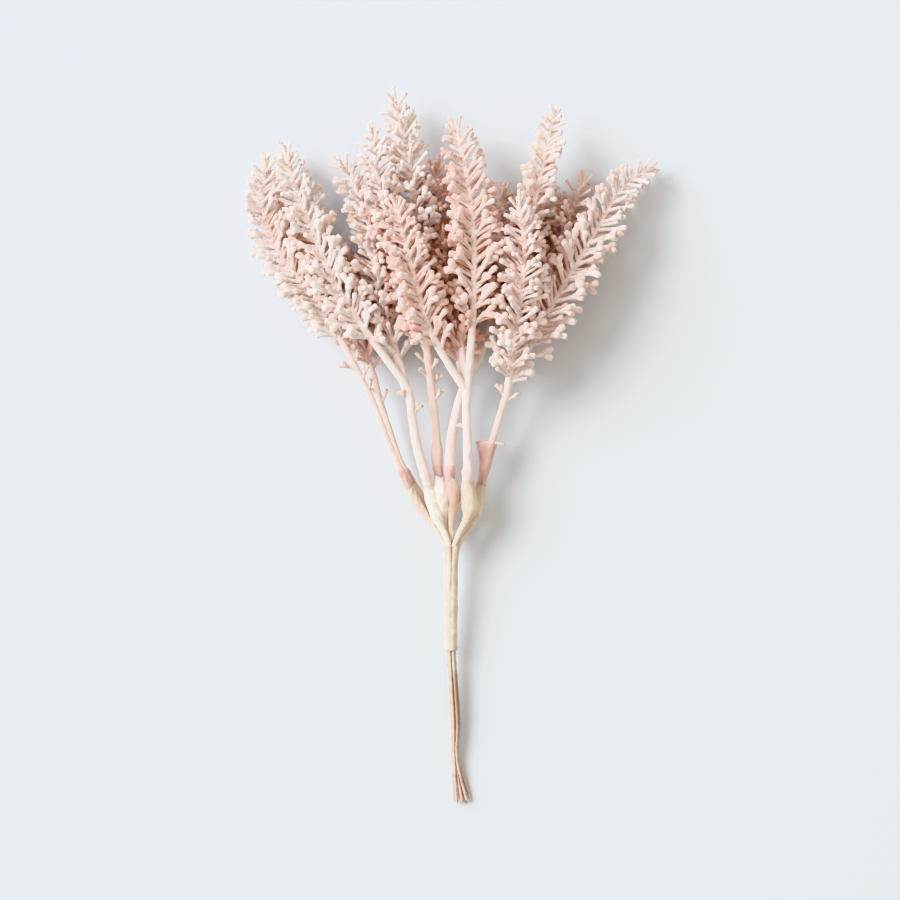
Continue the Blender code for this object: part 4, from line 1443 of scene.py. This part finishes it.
@dataclass
class Stems:
    """A spray's stem with its collar, the spikes' own stems, and the stubs on them.

    knuckle is the half width and the height of the swelling at the fork, and collar_lip those of the
    collar's edge; both heights are shares of the radius. root is how far a branch takes to reach its full
    width, and the share of it that it starts with. foot is the middle and the half width of the collar's
    dusky part. spur_rise is how far a stub's first and last direction go along the stem for one outwards.
    """

    spray: Spray
    tip_radius: float = 0.00048
    tip_gap: float = 0.0019
    knuckle: Pair = (0.002, 0.16)
    collar_step: float = 0.0007
    collar_lip: Pair = (0.0006, 0.06)
    root: Pair = (0.0012, 0.6)
    foot: Pair = (0.0018, 0.0016)
    sides: int = 14
    step: float = 0.0006
    coarse: Ripple = Ripple(0.04, 7, 0.006)
    fine: Ripple = Ripple(0.02, 5, 0.002)
    patches: Ripple = Ripple(0.28, 6, 0.004)
    spur_widths: tuple[float, ...] = (0.55, 0.5, 0.40, 0.32, 0.28, 0.20)
    spur_sides: int = 8
    spur_rise: Pair = (0.6, -0.2)

    def skin(self, rng: np.random.Generator) -> Skin:
        """The stems as closed tubes: one from the collar to the first tip, and one for each other spike.

        Args:
            rng: The source of chance.

        Returns:
            The mesh in the making.
        """
        skin, spray = Skin(), self.spray
        stem, (first, *others) = spray.stem_route, spray.spikes
        main = Route(np.vstack([stem.points, spray.spike_route(first).points[1:]]))
        run = np.arange(0.0, main.length - self.tip_gap, self.step)
        head = np.clip((run - stem.length) / (main.length - stem.length), 0.0, 1.0)
        bare = between(*spray.widths, np.clip(run / stem.length, 0.0, 1.0))
        bare = between(bare, self.tip_radius, head) * (1.0 + hump(run, stem.length, *self.knuckle))
        for bulge in spray.bulges:
            bare = bare + hump(run, bulge.at, bulge.half_length, bulge.height)
        collar_radius, collar = spray.collar
        inside = 1.0 - smooth_step(collar - 0.0002, collar + self.collar_step, run)
        opening = 1.0 + spray.flare * np.minimum(run / collar, 1.1) ** 2
        flared = collar_radius * (opening + hump(run, collar - 0.0004, *self.collar_lip))
        radius = between(bare, np.maximum(flared, 0.9 * bare), inside)
        flap = spray.flap * np.minimum(run / collar, 1.0) ** 2 * inside
        self._add(skin, main, run, radius, head, rng, flap, inside)
        for spike in others:
            branch = spray.spike_route(spike)
            run = np.arange(0.0, branch.length - self.tip_gap, self.step)
            root_length, root_share = self.root
            root = between(root_share, 1.0, smooth_step(0.0, root_length, run))
            head = run / branch.length
            radius = root * between(spray.widths[1], self.tip_radius, head)
            self._add(skin, branch, run, radius, head, rng)
        for spur in spray.spurs:
            self._add_spur(skin, stem, spur)
        return skin

    def _add(
        self,
        skin: Skin,
        route: Route,
        run: Array,
        radius: Array,
        head: Array,
        rng: np.random.Generator,
        flap: Array | float = 0.0,
        inside: Array | float = 0.0,
    ) -> None:
        """Adds one tube along a route, with unevenness of about a twentieth of its radius.

        Args:
            skin: The mesh in the making.
            route: The tube's line.
            run: The distances of its rings.
            radius: Its radius at each ring.
            head: Each ring's share of the way up the spike.
            rng: The source of chance.
            flap: How much wider each ring is on its left.
            inside: How far each ring belongs to the collar.
        """
        turns, down = ring(self.sides), run[:, None]
        flap, inside = (np.broadcast_to(share, run.shape)[:, None] for share in (flap, inside))
        uneven = 1.0 + self.coarse.on(turns, down, rng) + self.fine.on(turns, down, rng)
        uneven = uneven + flap * np.maximum(np.cos(turns - TURN / 2), 0.0) ** 2
        patchy = np.clip(1.0 + self.patches.on(turns, down, rng), 0.0, 1.4)
        socket = self.spray.socket * inside * patchy
        foot = hump(down, *self.foot) + 0.4 * np.minimum(flap, 1.0)
        skin.add_tube(
            clear_of_floor(route.at(run), radius),
            route.heading(run),
            radius[:, None] * uneven,
            cap=0.0003,
            tone=0.5 * smooth_step(0.05, 0.45, head),
            variety=0.0,
            blush=self.spray.blush,
            socket=np.minimum(socket, 1.0),
            dusk=np.minimum(0.6 * socket * foot, 0.6),
        )

    def _add_spur(self, skin: Skin, route: Route, spur: Spur) -> None:
        """Adds one stub: a short tapering rod on the stem's side.

        Args:
            skin: The mesh in the making.
            route: The stem's line.
            spur: What the stub is like.
        """
        length = np.array([spur.length + self.spray.widths[0]])
        at, turn = np.array([spur.at]), np.radians([spur.turn])
        curl = Curls.grown(route, at, turn, np.arctan2(1.0, self.spur_rise), length, 0.0)
        widths = np.array(self.spur_widths) * spur.thickness * MM
        skin.add_tubes(
            curl.at(np.linspace(0.0, 1.0, len(widths))[None]),
            np.repeat(widths[None, :, None], self.spur_sides, axis=2),
            curl.side,
            caps=(0.0, 0.0001),
            tone=0.3,
            variety=0.0,
            blush=self.spray.blush,
            socket=0.15,
            dusk=0.2,
        )


@dataclass(frozen=True)
class Winding:
    """Tape wound in a spiral.

    pitch is the length of a turn, lap how far a turn's edge stands out, and edge the half width of the edge's
    mark as a share of a turn. creases is their number round the tube, and shades are how dark an edge is
    and how much painted shade lies in a crease. wander is how unevenly the turns lie, and sway how unevenly
    the creases run.
    """

    pitch: float
    lap: float
    edge: float
    creases: int
    shades: Pair
    wander: Ripple
    sway: Ripple

    def lay(self, turns: Array, down: Array, rng: np.random.Generator) -> tuple[Array, Array, Array]:
        """Lays the tape. The lap falls evenly over each turn, and then jumps back.

        Args:
            turns: Angles round the tube.
            down: Distances along the tube.
            rng: The source of chance.

        Returns:
            The height of the lap, the depth of the creases from 0 to 1, and how dark the tape is: darker
            edges, and painted shade in the creases.
        """
        phase = (turns / TURN + down / self.pitch + self.wander.on(turns, down, rng)) % 1.0
        creases = 0.5 + 0.5 * np.cos(self.creases * turns + self.sway.on(turns, down, rng))
        edge = hump(phase, 0.0, self.edge) + hump(phase, 1.0, self.edge)
        edge_shade, crease_shade = self.shades
        return self.lap * (1.0 - phase), creases, edge_shade * edge + crease_shade * creases**4


@dataclass
class Sleeve:
    """The crepe tape wound over a collar's end and down the wire.

    The wall swells by the shares swell at the distances rings. It laps over_collar over the collar's end,
    ends by tuck past the pack's mouth, and turns in by lip at its top. puff_place and stain_place are a
    middle and a half width, and rim_stain is a half width and a strength.
    """

    spray: Spray
    over_collar: float = 0.0020
    rings: tuple[float, ...] = (0.0, 0.0023, 0.0050, 0.0080, 0.0105)
    swell: tuple[float, ...] = (0.0, 0.9, 1.0, 0.65, 0.10)
    radius: float = 0.00077
    strand_radius: float = 0.00060
    wall: float = 0.00018
    tuck: float = 0.0011
    lip: float = 0.0009
    lip_gap: float = 0.00004
    # Painted shade on the turned-in lip.
    lip_fold: float = 0.2
    lip_stain: float = 0.5
    ragged: Ripple = Ripple(0.00020, 6, 1.0)
    ragged_length: float = 0.0008
    uneven: Ripple = Ripple(0.00007, 8, 0.004)
    crease: float = 0.00006
    puff_place: Pair = (0.0050, 0.0054)
    stain_place: Pair = (0.0055, 0.0050)
    rim_stain: Pair = (0.0009, 0.45)
    rounding: int = 15
    sides: int = 32
    step: float = 0.00022
    winding: Winding = Winding(
        pitch=0.0034, lap=0.00004, edge=0.035, creases=9, shades=(0.14, 0.22),
        wander=Ripple(0.08, 3, 0.012), sway=Ripple(2.0, 4, 0.008),
    )

    def skin(self, rng: np.random.Generator) -> Skin:
        """The sleeve: its ragged top turns in round the collar, and it closes round the wire below.

        The wall is a smooth curve through the rings, with the lumps, the winding's laps and unevenness.

        Args:
            rng: The source of chance.

        Returns:
            The mesh in the making.
        """
        spray, route = self.spray, self.spray.wire_route
        top = WIRE_IN_COLLAR - self.over_collar
        mouth = float(route.run[route.nearest(spray.pack_point(MOUTH_AT, MOUTH_PITCH))])
        length = mouth - top + self.tuck
        run = np.arange(0.0, length, self.step)
        collar = max(0.00085, 0.8 * spray.collar[0]) * (1.0 + 0.3 * spray.flare)
        radius = self._radius(run, length, collar + self.wall)

        turns, down = ring(self.sides), run[:, None]
        lap, creases, fold = self.winding.lay(turns, down, rng)
        swollen = (radius / spray.swelling)[:, None]
        uneven = swollen * self.uneven.on(turns, down, rng)
        wall = radius[:, None] + lap + uneven - self.crease * swollen * creases**2
        # Pink-brown by the spray's tint, partly the socket through the tape and partly painted shade, and
        # darker at the rim.
        stain = np.maximum(spray.tint.value * hump(run, *self.stain_place), hump(run, 0.0, *self.rim_stain))
        ragged = self.ragged.on(turns, 0.0, rng)

        middles = route.at(top + run) + hump(down, *self.puff_place) * np.array(spray.puff) * MM
        headings = unit(np.gradient(middles, axis=0))
        lip = [middles[0] + self.lip * headings[0], middles[0]]
        headings = np.vstack([headings[0], headings[0], headings])
        two_rings = np.ones((2, self.sides))
        skin = Skin()
        # The turned-in lip is painted in shade where it tucks round the collar.
        skin.add_tube(
            np.vstack([*lip, middles]),
            headings,
            np.vstack([two_rings * (collar - self.lip_gap), wall]),
            cap=0.0001,
            fold=np.vstack([two_rings * self.lip_fold, fold]),
            stain=np.concatenate([[self.lip_stain] * 2, stain]),
            bright=spray.bright,
        )
        slide = np.vstack([0.0 * ragged, ragged, np.exp(-down / self.ragged_length) * ragged])
        slid = (slide[:, :, None] * headings[:, None]).reshape(-1, 3)
        skin.points[0][: len(slid)] += slid
        return skin

    def _radius(self, run: Array, length: float, lip: float) -> Array:
        """The wall's radius, without its laps and creases.

        Args:
            run: The distances of its rings from its top.
            length: The sleeve's length.
            lip: The least radius at its top.

        Returns:
            The radius at each ring.
        """
        knots = [between(self.radius, self.spray.swelling, share) for share in self.swell]
        knots = [max(lip, knots[0]), max(lip, knots[1]), *knots[2:], self.strand_radius]
        radius = np.interp(run, [*self.rings, length], knots)
        kernel = np.hanning(self.rounding)
        padded = np.pad(radius, self.rounding // 2, mode="edge")
        radius = np.convolve(padded, kernel / kernel.sum(), mode="valid")
        for lump in self.spray.lumps:
            radius = radius + hump(run, lump.at, lump.half_length, lump.height)
        return radius


@dataclass
class Wire:
    """A paper-covered wire from its collar's end to its free end.

    The paper's edge stands out by lap, and seam is how dark it is. The cut end narrows by rim_share to the
    steel's core_share. cream and tan are the greatest shares of those colours. Cream fades below the binding
    over cream_fade, later_fade further down on the left. Tan comes and goes over tan_from and tan_to, on the
    right.
    """

    spray: Spray
    radius: float = 0.00035
    sides: int = 14
    step: float = 0.0004
    pitch: float = 0.0031
    lap: float = 0.000022
    uneven: Ripple = Ripple(0.000012, 6, 0.003)
    edge: float = 0.07
    seam: float = 0.75
    rim_share: float = 0.90
    core_share: float = 0.55
    cream: float = 0.5
    cream_fade: Pair = (0.002, 0.010)
    later_fade: float = 0.016
    tan: float = 0.62
    tan_from: Pair = (0.003, 0.008)
    tan_to: Pair = (0.016, 0.026)

    def skin(self, rng: np.random.Generator) -> Skin:
        """The wire: its paper is wound in a slope whose edge stands out, and its end is cut square.

        Args:
            rng: The source of chance.

        Returns:
            The mesh in the making.
        """
        route = self.spray.wire_route
        run = np.append(np.arange(WIRE_IN_COLLAR, route.length, self.step), route.length)
        turns, down = ring(self.sides), run[:, None]
        phase = (turns / TURN + down / self.pitch + rng.uniform()) % 1.0
        radii = self.radius - self.lap * phase + self.uneven.on(turns, down, rng)
        cut = np.ones((2, self.sides)) * self.radius * np.array([[self.rim_share], [self.core_share]])
        at = np.append(run, [route.length, route.length])
        place = route.at(at)
        below = FOOT_AT[1] * MM - place[:, 1]
        right = smooth_step(-0.9, 0.6, self.spray.slot[0])
        fade_from, fade_to = np.array(self.cream_fade) + self.later_fade * (1.0 - right)
        browned = smooth_step(*self.tan_from, below) * (1.0 - smooth_step(*self.tan_to, below))
        skin = Skin()
        skin.add_tube(
            place,
            route.heading(at),
            np.vstack([radii, cut]),
            seam=np.vstack([hump(phase, 0.0, self.edge, self.seam), 0.0 * cut]),
            core=np.arange(len(at)) == len(at) - 1,
            cream=self.cream * (1.0 - smooth_step(fade_from, fade_to, below)),
            tan=self.tan * right * browned,
        )
        return skin


@dataclass
class Binding:
    """The crepe tape wound round all the wires.

    pitches and strands are the outer strands' distance from the middle and their radius, at the mouth, at the
    narrow place and from three quarters of the way down. inner are the radii of the hollow foot, and
    inner_fold the painted shade inside it. groove is the half width, in radians, and the strength of the
    painted shade between two strands, and groove_fade the shares of the length over which it fades.
    """

    mouth_share: float = 0.12
    pitches: tuple[float, float, float] = (0.00158, 0.00085, 0.00055)
    strands: tuple[float, float, float] = (0.00074, 0.00084, 0.00100)
    inner: Pair = (0.00145, 0.00128)
    recess: float = 0.0008
    # Painted shade inside the hollow foot.
    inner_fold: float = 0.3
    bright: float = 0.2
    swing: Ripple = Ripple(0.05, 3, 0.02)
    uneven: Ripple = Ripple(0.00004, 9, 0.004)
    crease: float = 0.00004
    # Painted shade in the grooves between strands.
    groove: Pair = (0.10, 1.15)
    groove_fade: Pair = (0.25, 0.6)
    sides: int = 96
    step: float = 0.00022
    winding: Winding = Winding(
        pitch=0.0058, lap=0.00008, edge=0.02, creases=14, shades=(0.16, 0.14),
        wander=Ripple(0.05, 3, 0.02), sway=Ripple(3.0, 4, 0.010),
    )

    def skin(self, rng: np.random.Generator) -> Skin:
        """The binding: the tape follows the outer strands at its mouth and rounds over towards its foot.

        Six strands of radius a stand at the pitch p from the middle. At the angle d from the nearest of them
        the tape's radius is p cos d + sqrt(a^2 - (p sin d)^2), plus the winding's lap and unevenness.

        Args:
            rng: The source of chance.

        Returns:
            The mesh in the making.
        """
        mouth = between(MOUTH_AT, NARROW_AT, self.mouth_share)
        legs = [np.linspace(a, b, 20) for a, b in ((mouth, NARROW_AT), (NARROW_AT, FOOT_AT))]
        route = Route((np.vstack(legs) + CENTRING) * MM)
        run = np.arange(0.0, route.length, self.step)
        stations = [0.0, float(route.run[route.nearest(NARROW_AT)]), 0.75 * route.length]
        p, a = (np.interp(run, stations, values)[:, None] for values in (self.pitches, self.strands))
        turns, down, sixth = ring(self.sides), run[:, None], TURN / 6
        swung = turns + self.swing.on(0.0 * turns, down, rng)
        d = (swung + sixth / 2) % sixth - sixth / 2
        lobes = p * np.cos(d) + np.sqrt(np.maximum(a**2 - (p * np.sin(d)) ** 2, (0.22 * a) ** 2))
        lap, creases, fold = self.winding.lay(turns, down, rng)
        radii = lobes + lap + self.uneven.on(turns, down, rng) - self.crease * creases**2
        # Painted shade: a dark line in each groove between two strands, fading downwards.
        groove = hump(np.abs(d), sixth / 2, *self.groove)
        fading = 1.0 - smooth_step(*self.groove_fade, down / route.length)
        on_top = 0.45 + 0.55 * np.maximum(-np.sin(turns), 0.0) ** 6
        fold = fold + groove * fading * on_top
        at = np.append(run, [route.length, route.length - self.recess])
        two_rings = np.ones((2, self.sides))
        skin = Skin()
        # The hollow foot's inside is painted in shade.
        skin.add_tube(
            route.at(at),
            route.heading(at),
            np.vstack([radii, two_rings * np.array(self.inner)[:, None]]),
            fold=np.vstack([fold, two_rings * self.inner_fold]),
            stain=0.0,
            bright=self.bright,
        )
        return skin


@dataclass
class Bunch:
    """The whole bunch: builds every piece and puts it on the frame."""

    box: tuple[Array, Array]
    growth: HeadGrowth = field(default_factory=HeadGrowth)
    margin: float = 0.00004

    def build(self) -> None:
        """Builds, dresses and places every piece, each in place of its node."""
        rng = np.random.default_rng(SEED)
        plastic, tape, paper = (finish().material() for finish in (DustyPlastic, CrepeTape, PaperWire))
        stalks = Stalks.grow(self.growth, rng)
        heads = Heads(stalks, stalks.forked(self.growth, rng))
        heads.make_room(self.box)
        heads.follow()
        for number, spray in enumerate(SPRAYS):
            for skin, piece, node, slot, material in (
                (Stems(spray).skin(rng), "stems", "spray", "spray", plastic),
                (heads.skin(number, rng), "heads", "spray", "spray", plastic),
                (Sleeve(spray).skin(rng), "tape", "sleeve", "tape", tape),
                (Wire(spray).skin(rng), "paper_wire", "wire", "wire", paper),
            ):
                self.place(skin, f"{piece}_{spray.name}", f"{node}_{spray.name}", slot, material)
        self.place(Binding().skin(rng), "tape_binding", "binding", "tape", tape)

    def place(self, skin: Skin, name: str, node: str, slot: str, material: bpy.types.Material) -> None:
        """Makes one piece stand for a node.

        Args:
            skin: The mesh in the making.
            name: The piece's name.
            node: The node that it replaces.
            slot: The name of the piece's material slot; it is not used.
            material: The piece's finish.
        """
        inside = (self.box[0] + self.margin, self.box[1] - self.margin)
        piece = skin.build(name, inside)
        piece.data.materials.append(material)
        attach(piece, "root")
        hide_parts(node)


@dataclass(frozen=True)
class Studio:
    """The pale floor, the soft light from the left and the camera straight above."""

    floor_size: float = 20.0
    camera_height: float = 0.9
    subject_height: float = 0.008
    view_width: float = 0.225
    view_middle: Pair = (-0.00079, -0.001)
    sensor: float = 36.0
    light_elevation: float = 34.0
    light_turn: float = 26.0
    light_distance: float = 2.4
    light_size: float = 1.7
    light_power: float = 89.0
    light_colour: Colour = (0.785, 0.90, 1.0)
    sky_colour: Colour = (1.0, 0.955, 0.89)
    sky_strength: float = 0.72

    def build(self) -> None:
        """Makes the floor, the lights and the camera, with gentle highlights as in a photograph."""
        self._floor()
        self._lights()
        self._camera()
        bpy.context.scene.view_settings.view_transform = "Khronos PBR Neutral"

    def _floor(self) -> None:
        """Makes the floor: one square, on the plane that the bunch lies on."""
        half = self.floor_size / 2
        mesh = bpy.data.meshes.new("floor")
        corners = [(-half, -half, 0.0), (half, -half, 0.0), (half, half, 0.0), (-half, half, 0.0)]
        mesh.from_pydata(corners, [], [(0, 1, 2, 3)])
        mesh.materials.append(PaleFloor().material())
        floor = link_new("floor", mesh)
        floor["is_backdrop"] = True

    def _lights(self) -> None:
        """Makes one large soft light to the left, and an even pale sky."""
        lamp = bpy.data.lights.new("window", "AREA")
        lamp.shape = "DISK"
        lamp.size = self.light_size
        lamp.energy = self.light_power
        lamp.color = self.light_colour
        light = link_new("window", lamp)
        rise, turn = math.radians(self.light_elevation), math.radians(self.light_turn)
        level = math.cos(rise)
        towards = Vector((-level * math.cos(turn), level * math.sin(turn), math.sin(rise)))
        light.location = self.light_distance * towards
        light.rotation_mode = "QUATERNION"
        light.rotation_quaternion = Vector(-light.location).to_track_quat("-Z", "Y")
        world = bpy.data.worlds.new("sky")
        world.use_nodes = True
        background = world.node_tree.nodes["Background"]
        background.inputs["Color"].default_value = (*self.sky_colour, 1.0)
        background.inputs["Strength"].default_value = self.sky_strength
        bpy.context.scene.world = world

    def _camera(self) -> None:
        """Makes the camera, which sees the view's width at the subject's height."""
        lens = bpy.data.cameras.new("camera")
        lens.sensor_width = self.sensor
        lens.lens = self.sensor * (self.camera_height - self.subject_height) / self.view_width
        camera = link_new("camera", lens)
        camera.location = (*self.view_middle, self.camera_height)
        bpy.context.scene.camera = camera


def main() -> None:
    """Loads the frame, builds the bunch inside the frame's box, and builds the studio."""
    logging.basicConfig(level=logging.INFO, format="%(name)s: %(message)s")
    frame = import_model()
    cad_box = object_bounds()
    LOG.info("frame: %d nodes", len(frame["nodes"]))
    Bunch((np.array(cad_box[0]), np.array(cad_box[1]))).build()
    Studio().build()
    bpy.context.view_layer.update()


if __name__ == "__main__":
    main()
